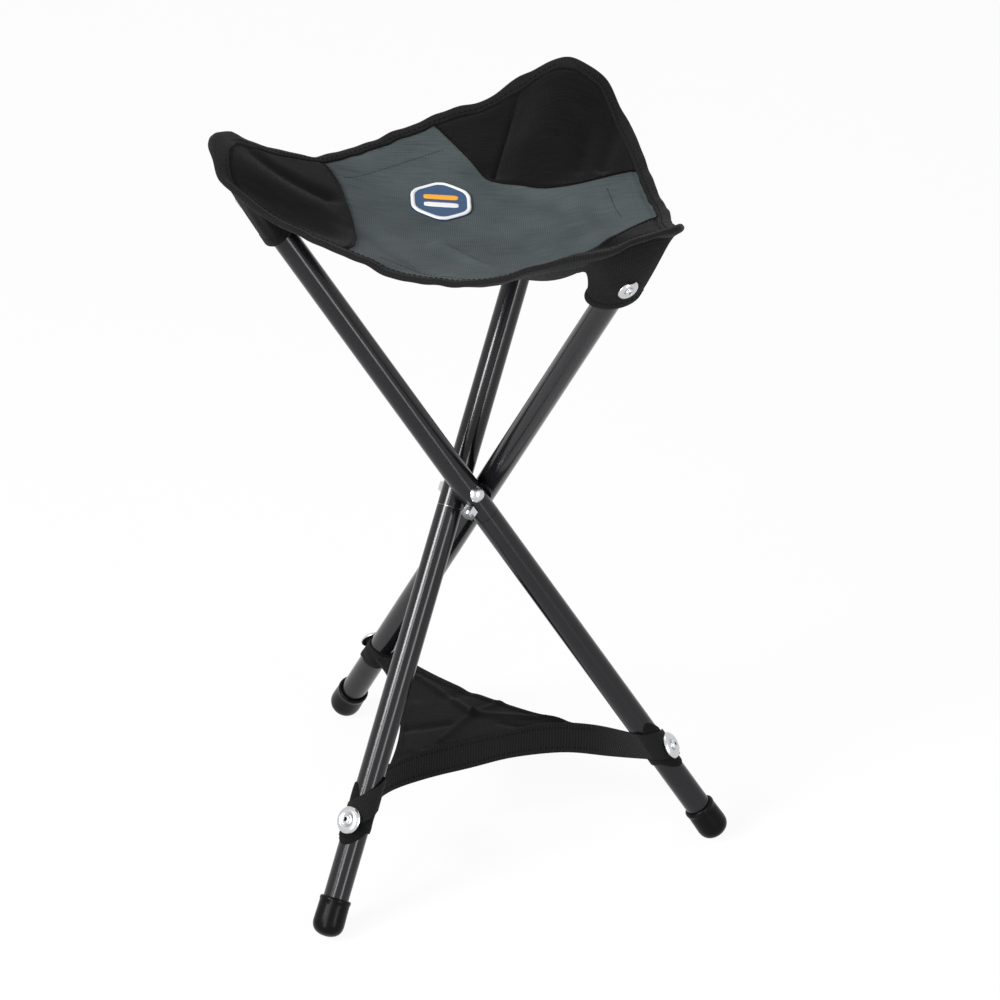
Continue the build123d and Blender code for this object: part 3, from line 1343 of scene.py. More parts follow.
@dataclass
class SeatSling:
    """The sewn seat: panel, corner patches, edge tape, stitching and badge.

    Attributes:
        sling: Surface that the pieces lie on.
        tape: Tape round the rim.
        badge: Badge on the panel.
        panel_thick: Thickness of the panel.
        panel_inset: Distance of the panel's cut edge from the rim.
        patch_inset: Distance of a patch's outer edge from the rim.
        patch_hem: Share of the way to the rim and a patch's thickness there, from its hem to plain cloth.
        lining_thick: Thickness of the lining under a patch.
        gap: Gap between sewn layers.
        tape_row: Distance of the tape's stitches from its sewn edge.
        tape_top: Height of the tape's upper face.
        row_end: Angle that a row of the tape's stitches keeps from a corner, in radians.
        hem_inset: Distance of the hem's stitches from the rim.
        hem_lift: Height of the hem's stitches.
        hem_spans: First and last angle of each stretch of hem that shows, in degrees.
        patch_row: Distance of a patch's stitches from its inner edge.
        patch_top: Height of a patch's stitches.
        patch_end: Places at each end of a patch's edge that have no stitches.
        clear: Distance that stitches keep from the spine.
        hold: Distances from the spine between which the fabric comes to follow a leg; not used.
        spare: Share by which a sheet's flat size exceeds its area; not used.
        rear_tip: Angle of the rear corner in plan.
        right_tip: Angle of the right corner in plan.
        patches: Inner edges of the corner patches.
    """

    sling: Sling
    tape: EdgeTape
    badge: SeatBadge
    panel_thick: float = 1.2
    panel_inset: float = 3.0
    patch_inset: float = 4.0
    patch_hem: Pairs = (
        (0.0, 0.5),
        (0.012, 1.35),
        (0.03, 1.5),
        (0.05, 1.25),
        (0.08, 0.9),
    )
    lining_thick: float = 0.6
    gap: float = 0.15
    tape_row: float = 2.6
    tape_top: float = 1.95
    row_end: float = 0.02
    hem_inset: float = 33.0
    hem_lift: float = 0.02
    hem_spans: Pairs = ((106, 143), (-132, -92), (4, 24))
    patch_row: float = 3.2
    patch_top: float = 1.2
    patch_end: int = 6
    clear: float = 0.6
    hold: Pair = (30.0, 118.0)
    spare: float = 1.02
    rear_tip: float = radians(66.0)
    right_tip: float = radians(-46.0)
    patches: tuple[PatchEdge, ...] = (
        PatchEdge(
            Leg.LEFT,
            ((-118, 84), (-108, 72), (-99, 44), (-93, 3), (-90, -28), (-93, -58), (-99, -80), (-106, -92)),
        ),
        PatchEdge(
            Leg.REAR,
            (
                *((123, 70), (112, 66), (98, 64), (71, 58), (46, 59)),
                *((14, 71), (-1, 90), (-13, 107), (-25, 124), (-32, 134)),
            ),
        ),
        PatchEdge(
            Leg.RIGHT,
            (
                *((-7, -144), (-6, -133), (-3, -120), (8, -106), (29, -93)),
                *((52, -76), (82, -47), (112, -18), (121, -9), (127, -4)),
            ),
        ),
    )

    def hang(self, piece: Piece, half: Half) -> None:
        """Bakes a piece's placement into its mesh."""
        bend(piece)

    def declare(self, node: str) -> None:
        """Hides the imported node that a sheet stands in for.

        Args:
            node: Node that it stands for.
        """
        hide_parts(node)

    def panel(self, palette: Palette, half: Half) -> None:
        """Makes half of the panel.

        Args:
            palette: Materials.
            half: Half that is made.
        """
        angle = np.linspace(0, pi, 150) * half.value
        # Finer near the rim, where the tape draws the cloth down
        share = np.concatenate([np.linspace(0, 0.87, 48), np.linspace(0.88, 1, 15)])
        reach = self.sling.radius(angle) - self.panel_inset
        x = np.cos(angle)[:, None] * reach[:, None] * share
        y = np.sin(angle)[:, None] * reach[:, None] * share
        maker = MeshMaker(f"seat_panel_{half.label}")
        places = np.stack([x, y], axis=-1)
        maker.add_shell(self.sling.on(x, y), self.sling.on(x, y, -self.panel_thick), places)
        piece = maker.build(palette.panel)
        self.declare("seat_panel")
        self.hang(piece, half)

    def patch_lines(self, edge: PatchEdge, half: Half) -> tuple[Array, Array]:
        """Edges of a patch, or of half of the left one, which lies on the spine and is cut there.

        Args:
            edge: Inner edge of the whole patch.
            half: Half that the patch or its part is in.

        Returns:
            Inner and outer edge, each with x and y from the hub axis in its two rows.
        """
        inner = np.stack(edge.trace())
        if edge.leg is not Leg.LEFT:
            return inner, np.stack(self.sling.rim(np.arctan2(inner[1], inner[0]), self.patch_inset))
        inner = inner[:, inner[1] * half.value >= 0]
        on_spine = int(np.argmin(np.abs(inner[1])))
        inner[1, on_spine] = 0.0
        angle = np.arctan2(inner[1], inner[0])
        angle[on_spine] = pi * half.value
        outer = np.stack(self.sling.rim(angle, self.patch_inset))
        outer[1, on_spine] = 0.0
        return inner, outer

    def patch(self, palette: Palette, edge: PatchEdge, half: Half) -> None:
        """Makes the part of a corner patch that is in one half, and its lining under the panel.

        Args:
            palette: Materials.
            edge: Inner edge of the whole patch.
            half: Half that the part is in.
        """
        inner, outer = self.patch_lines(edge, half)
        hem_at, hem_thick = np.array(self.patch_hem).T
        # Finer at the hem and near the rim
        share = np.concatenate([hem_at[:-1], np.linspace(hem_at[-1], 0.78, 26), np.linspace(0.8, 1, 16)])
        x, y = inner[..., None] + (outer - inner)[..., None] * share
        top = self.gap + np.broadcast_to(np.interp(share, hem_at, hem_thick), x.shape)
        below = -self.panel_thick - self.gap
        corner = edge.leg.label
        side = f"_{half.label}" if edge.leg is Leg.LEFT else ""
        cloths = (
            (f"{corner}_patch_cloth{side}", top, self.gap),
            (f"{corner}_lining{side}", below, below - self.lining_thick),
        )
        for name, upper, lower in cloths:
            maker = MeshMaker(name)
            maker.add_shell(self.sling.on(x, y, upper), self.sling.on(x, y, lower), np.stack([x, y], axis=-1))
            piece = maker.build(palette.black)
            self.declare(f"{corner}_corner_patch")
            self.hang(piece, half)

    def rows(self) -> list[tuple[Array, Array, float, StitchRow]]:
        """Stitch rows of the seat.

        Returns:
            x, y, lift and stitch of each row.
        """
        found = []
        heavy, fine = StitchRow(), StitchRow(2.0, 0.7, 0.19)
        for low, high, _, _, _ in self.lengths():
            angle = np.linspace(low + self.row_end, high - self.row_end, 160)
            found.append((*self.sling.rim(angle, self.tape.width - self.tape_row), self.tape_top, heavy))
        for low, high in self.hem_spans:
            angle = np.radians(np.linspace(low, high, 60))
            found.append((*self.sling.rim(angle, self.hem_inset), self.hem_lift, fine))
        sewn = slice(self.patch_end, -self.patch_end)
        for edge in self.patches:
            x, y = edge.trace()
            angle = np.arctan2(y, x)
            x, y = x + self.patch_row * np.cos(angle), y + self.patch_row * np.sin(angle)
            found.append((x[sewn], y[sewn], self.patch_top, heavy))
        return found

    def stitching(self, palette: Palette, half: Half) -> None:
        """Makes the stitches of one half.

        Args:
            palette: Materials.
            half: Half that is sewn.
        """
        maker = MeshMaker(f"seat_stitching_{half.label}")
        fewest = 4
        for x, y, lift, row in self.rows():
            keep = y * half.value > self.clear
            if keep.sum() < fewest:
                continue
            path = self.sling.on(x[keep], y[keep], lift)
            normal = self.sling.on(x[keep], y[keep], lift + 1.0) - path
            row.sew(maker, path, normal)
        piece = maker.build(palette.thread, weld=False)
        self.hang(piece, half)

    def lengths(self) -> list[tuple[float, float, str, str, Half]]:
        """Lengths of tape, with the one on the right cut on the spine.

        Returns:
            First and last angle in plan, piece, node and half of each length.
        """
        return [
            (self.rear_tip, pi, "left_rear_tape", "left_rear_binding", Half.REAR),
            (0.0, self.rear_tip, "rear_right_tape_rear", "rear_right_binding", Half.REAR),
            (self.right_tip, 0.0, "rear_right_tape_front", "rear_right_binding", Half.FRONT),
            (-pi, self.right_tip, "front_tape", "front_binding", Half.FRONT),
        ]

    def dress(self, palette: Palette) -> None:
        """Makes every piece of the seat.

        Args:
            palette: Materials.
        """
        for half in Half:
            self.panel(palette, half)
            self.stitching(palette, half)
        for edge in self.patches:
            for half in Half:
                if edge.leg in (Leg.LEFT, half.seat_leg):
                    self.patch(palette, edge, half)
        for low, high, name, node, half in self.lengths():
            piece = self.tape.make(palette, name, (low, high), (self.rear_tip, self.right_tip))
            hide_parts(node)
            self.hang(piece, half)
        for piece in self.badge.make(palette):
            self.hang(piece, Half.REAR)


@dataclass(frozen=True)
class CupRivet:
    """A pressed cup washer with a tubular rivet through it.

    Attributes:
        radius: Radius of the washer.
        cup: Radius and height of the washer's section, as shares of its radius.
        head: The same for the rivet, from the foot of its hole.
    """

    radius: float
    cup: Pairs = (
        (1.0, -0.17),
        (1.03, -0.11),
        (1.0, -0.05),
        (0.92, 0.04),
        (0.8, 0.12),
        (0.68, 0.155),
        (0.6, 0.15),
        (0.53, 0.1),
        (0.47, 0.06),
        (0.3, 0.05),
        (0.3, -0.04),
        (0.55, -0.02),
        (0.7, 0.03),
        (0.85, -0.03),
        (0.97, -0.15),
        (1.0, -0.17),
    )
    head: Pairs = (
        (0.0, 0.1),
        (0.12, 0.1),
        (0.14, 0.27),
        (0.165, 0.31),
        (0.22, 0.315),
        (0.3, 0.28),
        (0.37, 0.2),
        (0.4, 0.11),
        (0.4, 0.055),
        (0.0, 0.055),
    )

    def fit(self, palette: Palette, leg: Leg, kind: str, centre: Array, out: Array) -> None:
        """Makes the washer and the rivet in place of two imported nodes.

        Args:
            palette: Materials.
            leg: Leg that carries them.
            kind: What they hold, as in the nodes' names.
            centre: Middle of the washer's seat.
            out: Direction away from the leg.
        """
        washer = MeshMaker(f"{leg.label}_{kind}_cup_washer")
        washer.add_turned(centre, out, np.array(self.cup) * self.radius)
        rivet = MeshMaker(f"{leg.label}_{kind}_rivet")
        # Painted shade: the foot and the wall of the rivet's hole take the dark plastic finish
        slots = [1, 1] + [0] * (len(self.head) - 3)
        rivet.add_turned(centre, out, np.array(self.head) * self.radius, slots=slots)
        pairs = (
            (washer.build(palette.steel), f"{leg.label}_{kind}_washer"),
            (rivet.build(palette.steel, palette.plastic), f"{leg.label}_{kind}_screw"),
        )
        for piece, node in pairs:
            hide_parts(node)
            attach(piece, leg.body)


@dataclass
class CornerPockets:
    """The fabric pockets under the seat corners, each round the top of its leg.

    Attributes:
        sling: Surface that the pockets hang from.
        low: Lower end of the left and the rear pocket along their legs.
        right_low: Lower end of the right pocket along its leg.
        high: Upper end along the leg.
        meet: Place along the leg where its axis meets the seat.
        slack: Gap round the tube at the hem.
        wall: Thickness of the doubled fabric.
        hem_spread: Half width of the flattened hem, along the rim.
        hem: Share of the way up and height of the turned hem there.
        stitch_at: Share of the way up where the hem is sewn.
        straight: Share of the way up where the pocket starts to widen.
        widening: Power by which it widens towards the seat.
        spread: Half width of the pocket where it meets the seat, along the rim.
        inward: Reach of the pocket's top towards the hub axis.
        outward: Reach of the pocket's top towards the rim.
        rim_inset: Distance that the pocket's top keeps from the rim.
        under: Depth of the pocket's top under the seat's upper face.
        fold_depth: Depth of the loose folds.
        fold_start: Share of the way up where they start.
        folded: Share of the width that is left when the stool is folded; not used.
        cloth_r: Radius that the weave is laid out on.
        cloth_run: Length of cloth along the pocket, for its weave.
        stitch_lift: Height of the hem's stitches.
        rivet_at: Place of the rivet along the leg.
        rivet_lift: Height of the washer's seat over the cloth.
        rivet: Rivet that holds a pocket.
    """

    sling: Sling
    low: float = 261.0
    right_low: float = 270.0
    high: float = 307.0
    meet: float = 310.0
    slack: float = 1.5
    wall: float = 1.4
    hem_spread: float = 23.0
    hem: Pairs = ((0.0, -0.5), (0.02, 0.5), (0.09, 0.45), (0.14, 0.0))
    stitch_at: float = 0.14
    straight: float = 0.06
    widening: float = 1.6
    spread: float = 42.0
    inward: float = 34.0
    outward: float = 30.0
    rim_inset: float = 5.0
    under: float = 2.0
    fold_depth: float = 1.8
    fold_start: float = 0.1
    folded: float = 0.48
    cloth_r: float = TUBE_R + 8.0
    cloth_run: float = 62.0
    stitch_lift: float = 0.05
    rivet_at: float = 283.0
    rivet_lift: float = 0.6
    rivet: CupRivet = CupRivet(8.0)

    def mouth(self, leg: Leg, turn: Array) -> Array:
        """Points where the pocket meets the seat's underside.

        Args:
            leg: Leg in the pocket.
            turn: Angles round the leg.

        Returns:
            One point for each angle.
        """
        arm, across, _ = leg.axes()
        foot = leg.at(self.meet) - HUB
        flat = unit(across[:2])
        reach = np.where(np.sin(turn) > 0, self.inward, self.outward)
        plan = np.cos(turn)[:, None] * arm[:2] * self.spread + np.sin(turn)[:, None] * flat * reach[:, None]
        x, y = self.sling.within(foot[0] + plan[:, 0], foot[1] + plan[:, 1], self.rim_inset)
        return self.sling.on(x, y, -self.under)

    def crumple(self, piece: Piece, leg: Leg) -> None:
        """Attaches a piece to its leg's body and gives it a mesh of its own.

        Args:
            piece: Piece of the pocket.
            leg: Leg in the pocket.
        """
        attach(piece, leg.body)
        tuple(leg.at(self.meet) * MM)
        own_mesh(piece)

    def face(self, leg: Leg, turn: Array, share: Array, along: Array) -> tuple[Array, Array]:
        """Outer face of a pocket, flat at the hem and wide at the seat.

        Args:
            leg: Leg in the pocket.
            turn: Angles round the leg.
            share: Shares of the way up from the hem to the seat.
            along: Places of the shares along the leg.

        Returns:
            Points with a row for each angle, and directions away from the leg's axis.
        """
        arm, across, _ = leg.axes()
        radius = TUBE_R + self.slack + self.wall
        ring = np.cos(turn)[:, None] * arm * self.hem_spread + np.sin(turn)[:, None] * across * radius
        centre = leg.at(along)
        hanging = centre[None] + ring[:, None, :]
        ease = np.clip((share - self.straight) / (1 - self.straight), 0, 1) ** self.widening
        outer = hanging + (self.mouth(leg, turn)[:, None, :] - hanging) * ease[None, :, None]
        out = unit(outer - centre[None])
        # The folds differ between pockets and leave the cloth flat under the rivet
        folds = waves(turn, ((0.6, 3, 0.6), (0.5, 5, leg.value), (0.35, 9, 0.0)))
        loose = 1 - np.clip((np.cos(turn + pi / 2) - 0.5) / 0.4, 0, 1)
        pucker = np.sin(np.clip((share - self.fold_start) / (1 - self.fold_start), 0, 1) * pi)
        outer = outer + out * (loose * folds)[:, None, None] * (self.fold_depth * pucker)[None, :, None]
        hem_at, hem_lift = np.array(self.hem).T
        return outer + out * np.interp(share, hem_at, hem_lift)[None, :, None], out

    def fix_rivet(self, palette: Palette, leg: Leg, outer: Array, out: Array, row: int) -> None:
        """Fits the rivet on the pocket's outward side.

        Args:
            palette: Materials.
            leg: Leg in the pocket.
            outer: Points of the pocket's face.
            out: Directions away from the leg's axis.
            row: Number of the rivet's place along the leg.
        """
        column = outer.shape[0] * 3 // 4
        up = outer[column, row + 2] - outer[column, row - 2]
        round_leg = outer[column + 3, row] - outer[column - 3, row]
        normal = unit(np.cross(up, round_leg))
        normal = normal * np.sign(normal @ out[column, row])
        self.rivet.fit(palette, leg, "pocket", outer[column, row] + normal * self.rivet_lift, normal)

    def make(self, palette: Palette, leg: Leg) -> None:
        """Makes one pocket with its stitching and rivet.

        Args:
            palette: Materials.
            leg: Leg in the pocket.
        """
        turn = ring_angles(96)
        share = np.concatenate([[0.0, 0.02, 0.05, 0.09, 0.14], np.linspace(0.19, 1.0, 28)])
        low = self.right_low if leg is Leg.RIGHT else self.low
        along = low + share * (self.high - low)
        outer, out = self.face(leg, turn, share, along)
        maker = MeshMaker(f"{leg.label}_pocket_sleeve")
        places = grid_places(turn * self.cloth_r, share * self.cloth_run)
        maker.add_sleeve(outer, outer - out * self.wall, places)
        piece = maker.build(palette.black)
        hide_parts(f"{leg.label}_pocket")
        self.crumple(piece, leg)
        thread = MeshMaker(f"{leg.label}_pocket_stitching")
        sewn_row = int(np.argmin(np.abs(share - self.stitch_at)))
        loop = np.concatenate([outer[:, sewn_row], outer[:1, sewn_row]])
        facing = np.concatenate([out[:, sewn_row], out[:1, sewn_row]])
        StitchRow().sew(thread, loop + facing * self.stitch_lift, facing)
        sewn = thread.build(palette.thread, weld=False)
        self.crumple(sewn, leg)
        self.fix_rivet(palette, leg, outer, out, int(np.argmin(np.abs(along - self.rivet_at))))

    def dress(self, palette: Palette) -> None:
        """Makes the three pockets."""
        for leg in Leg:
            self.make(palette, leg)


# Lower brace


@dataclass
class LowerBrace:
    """The fabric brace near the feet: panel, webbing and the straps round the legs.

    Attributes:
        at: Distance of the straps below the hub, along the legs.
        height: Height of the panel's corners.
        crown: Rise of the panel on the hub axis.
        fall: Fall of the panel for each square millimetre away from there.
        front_draw: Distance that the front edge is drawn in at its middle.
        front_power: Power of its curve, high for a flat middle.
        left_draw: The same for the left edge.
        rear_draw: The same for the rear edge.
        inside: A place well inside the panel, from the hub axis.
        sewn: First and last share of the webbing that the panel is sewn to.
        right_half: Half width of the panel where it meets the right leg's strap.
        right_gap: Gap between the panel and that strap.
        thick: Thickness of the panel.
        hem_rise: Height of the turned hem over the panel.
        hem_width: Width of the hem.
        hem_edge: Steepness of the hem's edge.
        hem_row: Distance of the hem's stitches from the panel's edge.
        hem_top: Height of the hem's stitches.
        flat_share: Flat area of the cloth, as a share of what its creases make; not used.
        webbing_width: Width of the webbing.
        webbing_thick: Thickness of the webbing.
        webbing_rise: Height of the webbing's upper edge over the panel's corners.
        webbing_free: First and last share of the front edge that is off the straps.
        webbing_gap: Gap between the webbing and a strap.
        webbing_tail: Angle that the webbing's end reaches past its rivet.
        slack_waves: Height, rate per millimetre and phase of the free webbing's waves.
        slack_start: Distance from the webbing's ends where the waves start.
        slack_ease: Distance over which they grow.
        strap_r: Outer radius of a strap.
        strap_gap: Gap between a strap and its tube.
        strap_sink: Depth of the strap's plain face under its outer radius.
        strap_roll: Share of the way up a strap and height of its rolled edges there.
        strap_low: Reach of a strap below its rivet's level.
        strap_dip: Further dip of its lower edge under the rivet.
        strap_high: Reach of a strap above that level.
        strap_rise: Further peak of its upper edge beside the rivet.
        strap_peak: Angle of the peak round the leg.
        strap_wave: Height of the waves along its upper edge.
        strap_crinkle: Height of its crinkles.
        rivet_r: Distance of a rivet's seat from the leg's axis.
        rivet_turn: Angle of the rivet round the leg.
        rivet: Rivet that holds a strap.
        rear_climb: Climb of the webbing up the rear leg, from its rivet to its free span.
        left_climb: The same for the left leg.
        climb_power: Power by which it climbs.
        cut: Place in y where the panel's two halves meet, from the hub axis.
        clear: Distance that stitches keep from the cut.
        hold: Distances from the spine between which the fabric comes to follow a leg; not used.
        creases: Pulls that cross near the middle of the panel.
    """

    at: float = 257.0
    height: float = 80.0
    crown: float = 1.5
    fall: float = 0.00022
    front_draw: float = 60.0
    front_power: int = 4
    left_draw: float = 12.0
    rear_draw: float = 13.0
    inside: Pair = (5.0, 35.0)
    sewn: Pair = (0.21, 0.84)
    right_half: float = 9.0
    right_gap: float = 0.3
    thick: float = 1.3
    hem_rise: float = 0.9
    hem_width: float = 7.0
    hem_edge: float = 2.0
    hem_row: float = 5.0
    hem_top: float = 0.8
    flat_share: float = 0.99
    webbing_width: float = 25.0
    webbing_thick: float = 1.2
    webbing_rise: float = 1.2
    webbing_free: Pair = (0.11, 0.89)
    webbing_gap: float = 0.05
    webbing_tail: float = radians(30.0)
    slack_waves: Triples = ((0.9, 1 / 15.0, 0.0), (0.6, 1 / 8.3, 1.0))
    slack_start: float = 42.0
    slack_ease: float = 60.0
    strap_r: float = 10.75
    strap_gap: float = 0.1
    strap_sink: float = 0.3
    strap_roll: Pairs = ((0.0, -0.5), (0.02, 0.0), (0.1, 0.1), (0.9, 0.1), (0.98, 0.0), (1.0, -0.5))
    strap_low: float = 6.0
    strap_dip: float = 12.0
    strap_high: float = 14.0
    strap_rise: float = 13.0
    strap_peak: float = radians(35.0)
    strap_wave: float = 1.5
    strap_crinkle: float = 0.22
    rivet_r: float = 12.6
    rivet_turn: float = radians(75.0)
    rivet: CupRivet = CupRivet(10.0)
    rear_climb: float = 25.0
    left_climb: float = 14.0
    climb_power: float = 1.2
    cut: float = -20.0
    clear: float = 0.6
    hold: Pair = (30.0, 100.0)
    creases: tuple[Crease, ...] = (
        Crease((7, 27), (-32, 84), 3.2, 1.7),
        Crease((7, 27), (74, 20), 3.2, 1.6),
        Crease((7, 27), (-18, -12), 3.0, 1.5),
        Crease((7, 27), (34, 48), 3.0, 1.3),
        Crease((-12, 12), (-44, 2), 4.0, -1.6),
        Crease((28, 14), (52, 4), 4.0, -1.4),
        Crease((-10, 52), (8, 62), 6.0, -1.5),
        Crease((-34, 40), (-42, -26), 5.0, 1.2),
    )

    def corner(self, leg: Leg) -> Array:
        """Place of a leg's axis at the panel's height.

        Args:
            leg: Leg at the corner.

        Returns:
            x and y from the hub axis.
        """
        _, _, up = leg.axes()
        point = leg.at((self.height - HUB[2]) / up[2])
        return (point - HUB)[:2]

    def front(self, share: Array) -> Array:
        """Places along the webbing's line, drawn in by the panel.

        Args:
            share: Shares of the way from the rear leg to the left leg.

        Returns:
            Places from the hub axis, one row for each share.
        """
        start, end = self.corner(Leg.REAR), self.corner(Leg.LEFT)
        inward = -unit((start + end) / 2)
        bow = self.front_draw * (1 - (2 * share - 1) ** self.front_power)
        return start + share[:, None] * (end - start) + bow[:, None] * inward

    def side(self, start: Array, end: Array, draw: float, share: Array) -> Array:
        """Places along a free edge of the panel, drawn in towards its inside.

        Args:
            start: First end of the edge.
            end: Last end of the edge.
            draw: Distance that its middle is drawn in.
            share: Shares of the way along the edge.

        Returns:
            Places from the hub axis, one row for each share.
        """
        chord = end - start
        square = unit(np.array([-chord[1], chord[0]]))
        towards = np.sign(square @ (np.array(self.inside) - (start + end) / 2))
        return start + share[:, None] * chord + (4 * share * (1 - share) * draw * towards)[:, None] * square

    def hang(self, piece: Piece, half: Half) -> None:
        """Bakes a piece's placement into its mesh."""
        bend(piece)

    def on(self, x: Array, y: Array, lift: float | Array = 0.0) -> Array:
        """Points on the panel.

        Args:
            x, y: Places from the hub axis.
            lift: Heights over the panel.

        Returns:
            Points in the shared frame.
        """
        height = self.height + lift - self.fall * (x**2 + y**2) + self.crown
        for crease in self.creases:
            height = height + crease.lift(x, y)
        return np.stack([x + HUB[0], y + HUB[1], height], axis=-1)

    def spread(self) -> tuple[Array, Array, Array]:
        """Grid of the panel between the webbing and the right leg.

        Returns:
            x and y from the hub axis, and the distance from the nearer free edge.
        """
        u, v = np.linspace(0, 1, 90), np.linspace(0, 1, 70)
        near = self.front(self.sewn[0] + u * (self.sewn[1] - self.sewn[0]))
        corner = self.corner(Leg.RIGHT)
        way = -unit(corner)
        square = np.array([-way[1], way[0]])
        sideways = np.linspace(-self.right_half, self.right_half, len(u))
        far = corner + way * (self.strap_r + self.right_gap) + sideways[:, None] * square
        left = self.side(near[0], far[0], self.left_draw, v)
        right = self.side(near[-1], far[-1], self.rear_draw, v)
        u, v = u[:, None, None], v[None, :, None]
        ruled = (1 - v) * near[:, None] + v * far[:, None] + (1 - u) * left[None] + u * right[None]
        corners = (1 - u) * ((1 - v) * near[0] + v * far[0]) + u * ((1 - v) * near[-1] + v * far[-1])
        grid = ruled - corners
        width = np.linalg.norm(grid[-1] - grid[0], axis=-1)
        return grid[..., 0], grid[..., 1], np.minimum(u, 1 - u)[..., 0] * width[None, :]

    def panel(self, palette: Palette, half: Half) -> None:
        """Makes half of the panel, with hems along its free edges.

        Args:
            palette: Materials.
            half: Half that is made.
        """
        x, y, inset = self.spread()
        hem = self.hem_rise / (1 + np.exp((inset - self.hem_width) * self.hem_edge))
        maker = MeshMaker(f"brace_panel_{half.label}")
        maker.add_shell(self.on(x, y, hem), self.on(x, y, -self.thick), np.stack([x, y], axis=-1))
        piece = maker.build(palette.black, cut=(half.value, HUB[1] + self.cut))
        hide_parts("brace_panel")
        self.hang(piece, half)

    def hem_stitching(self, palette: Palette, half: Half) -> None:
        """Makes the stitches along the panel's free edges in one half.

        Args:
            palette: Materials.
            half: Half that is sewn.
        """
        x, y, inset = self.spread()
        maker = MeshMaker(f"brace_stitching_{half.label}")
        middle, fewest = x.shape[0] // 2, 4
        # The rows stop short of the webbing and of the right leg
        columns = np.arange(2, x.shape[1] - 4)
        for side in (np.s_[:middle], np.s_[middle:]):
            pick = np.argmin(np.abs(inset[side] - self.hem_row), axis=0)[columns]
            line_x, line_y = x[side][pick, columns], y[side][pick, columns]
            keep = (line_y - self.cut) * half.value > self.clear
            if keep.sum() >= fewest:
                path = self.on(line_x[keep], line_y[keep], self.hem_top)
                StitchRow().sew(maker, path, np.broadcast_to(UPRIGHT, path.shape))
        piece = maker.build(palette.thread, weld=False)
        self.hang(piece, half)

    def wrap(self, leg: Leg, way: Array, count: int) -> Array:
        """Line of the webbing round a leg, from its end to where it leaves the strap.

        Args:
            leg: Leg that it goes round.
            way: Direction in which the webbing comes to the leg.
            count: Number of points.

        Returns:
            Points along the line.
        """
        arm, across, _ = leg.axes()
        sense, rise = (1.0, self.left_climb) if leg is Leg.LEFT else (-1.0, self.rear_climb)
        leave = np.arctan2(way @ across, way @ arm) - sense * pi / 2
        start = self.rivet_turn + sense * self.webbing_tail
        leave = start - sense * ((sense * (start - leave)) % (2 * pi))
        radius = self.strap_r + self.webbing_thick / 2 + self.webbing_gap
        climb = np.linspace(0, 1, count) ** self.climb_power * rise
        return leg.around(climb - self.at, np.linspace(start, leave, count), np.full(count, radius))

    def webbing_path(self) -> tuple[Array, Array]:
        """Line of the webbing from the rear leg's rivet to the left leg's.

        Returns:
            Points along its middle and directions across its width.
        """
        free_count, count = 120, 40
        plan = self.front(np.linspace(*self.webbing_free, free_count))
        middle = self.height + self.webbing_rise - self.webbing_width / 2
        span = np.stack([plan[:, 0] + HUB[0], plan[:, 1] + HUB[1], np.full(free_count, middle)], axis=-1)
        first = self.wrap(Leg.REAR, span[0] - span[1], count)
        last = self.wrap(Leg.LEFT, span[-1] - span[-2], count)
        line = np.concatenate([first, span, last[::-1]])
        ends = [np.tile(leg.axes()[2], (count, 1)) for leg in (Leg.REAR, Leg.LEFT)]
        wide = np.concatenate([ends[0], np.tile(UPRIGHT, (free_count, 1)), ends[1]])
        run = arc_length(line)
        spots = np.linspace(0, run[-1], 300)
        off_rear, off_left = np.searchsorted(spots, [run[count - 1], run[-count]])
        free = slice(int(off_rear) + 1, int(off_left))
        line, wide = resample(spots, run, line), resample(spots, run, wide)
        # The free span settles, and the twist spreads along it
        passes = 80
        for _ in range(passes):
            wide = relax(wide)
            line[free] = relax(line)[free]
        return line, unit(wide)

    def webbing(self, palette: Palette) -> None:
        """Makes the webbing along the front edge, with both ends wrapped on the legs.

        Args:
            palette: Materials.
        """
        line, wide = self.webbing_path()
        out = unit(np.cross(np.gradient(line, axis=0), wide))
        across = np.linspace(-0.5, 0.5, 13)
        run = arc_length(line)
        # The waves start past the straps and grow over the next stretch
        from_end = np.minimum(run, run[-1] - run)
        loose = np.clip((from_end - self.slack_start) / self.slack_ease, 0, 1)
        wave = (loose * waves(run, self.slack_waves))[:, None] * across[None, :]
        base = line[:, None, :] + wide[:, None, :] * (across * self.webbing_width)[None, :, None]
        half = self.webbing_thick / 2
        top = base + out[:, None, :] * (wave + half)[..., None]
        under = base + out[:, None, :] * (wave - half)[..., None]
        maker = MeshMaker("brace_webbing_strip")
        maker.add_shell(top, under, grid_places(run, across * self.webbing_width))
        piece = maker.build(palette.webbing)
        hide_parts("brace_webbing")
        self.hang(piece, Half.FRONT)
        thread = MeshMaker("brace_webbing_stitching")
        # Two rows on each face, along the part that the panel is sewn to
        sewn = slice(60, 240)
        for face, side in ((top, 1.0), (under, -1.0)):
            for row in (2, 10):
                StitchRow().sew(thread, face[sewn, row], out[sewn] * side)
        stitched = thread.build(palette.thread, weld=False)
        self.hang(stitched, Half.FRONT)

    def strap(self, palette: Palette, leg: Leg) -> None:
        """Makes the fabric strap round one leg, with slanting edges, and its rivet.

        Args:
            palette: Materials.
            leg: Leg in the strap.
        """
        turn = ring_angles(96)
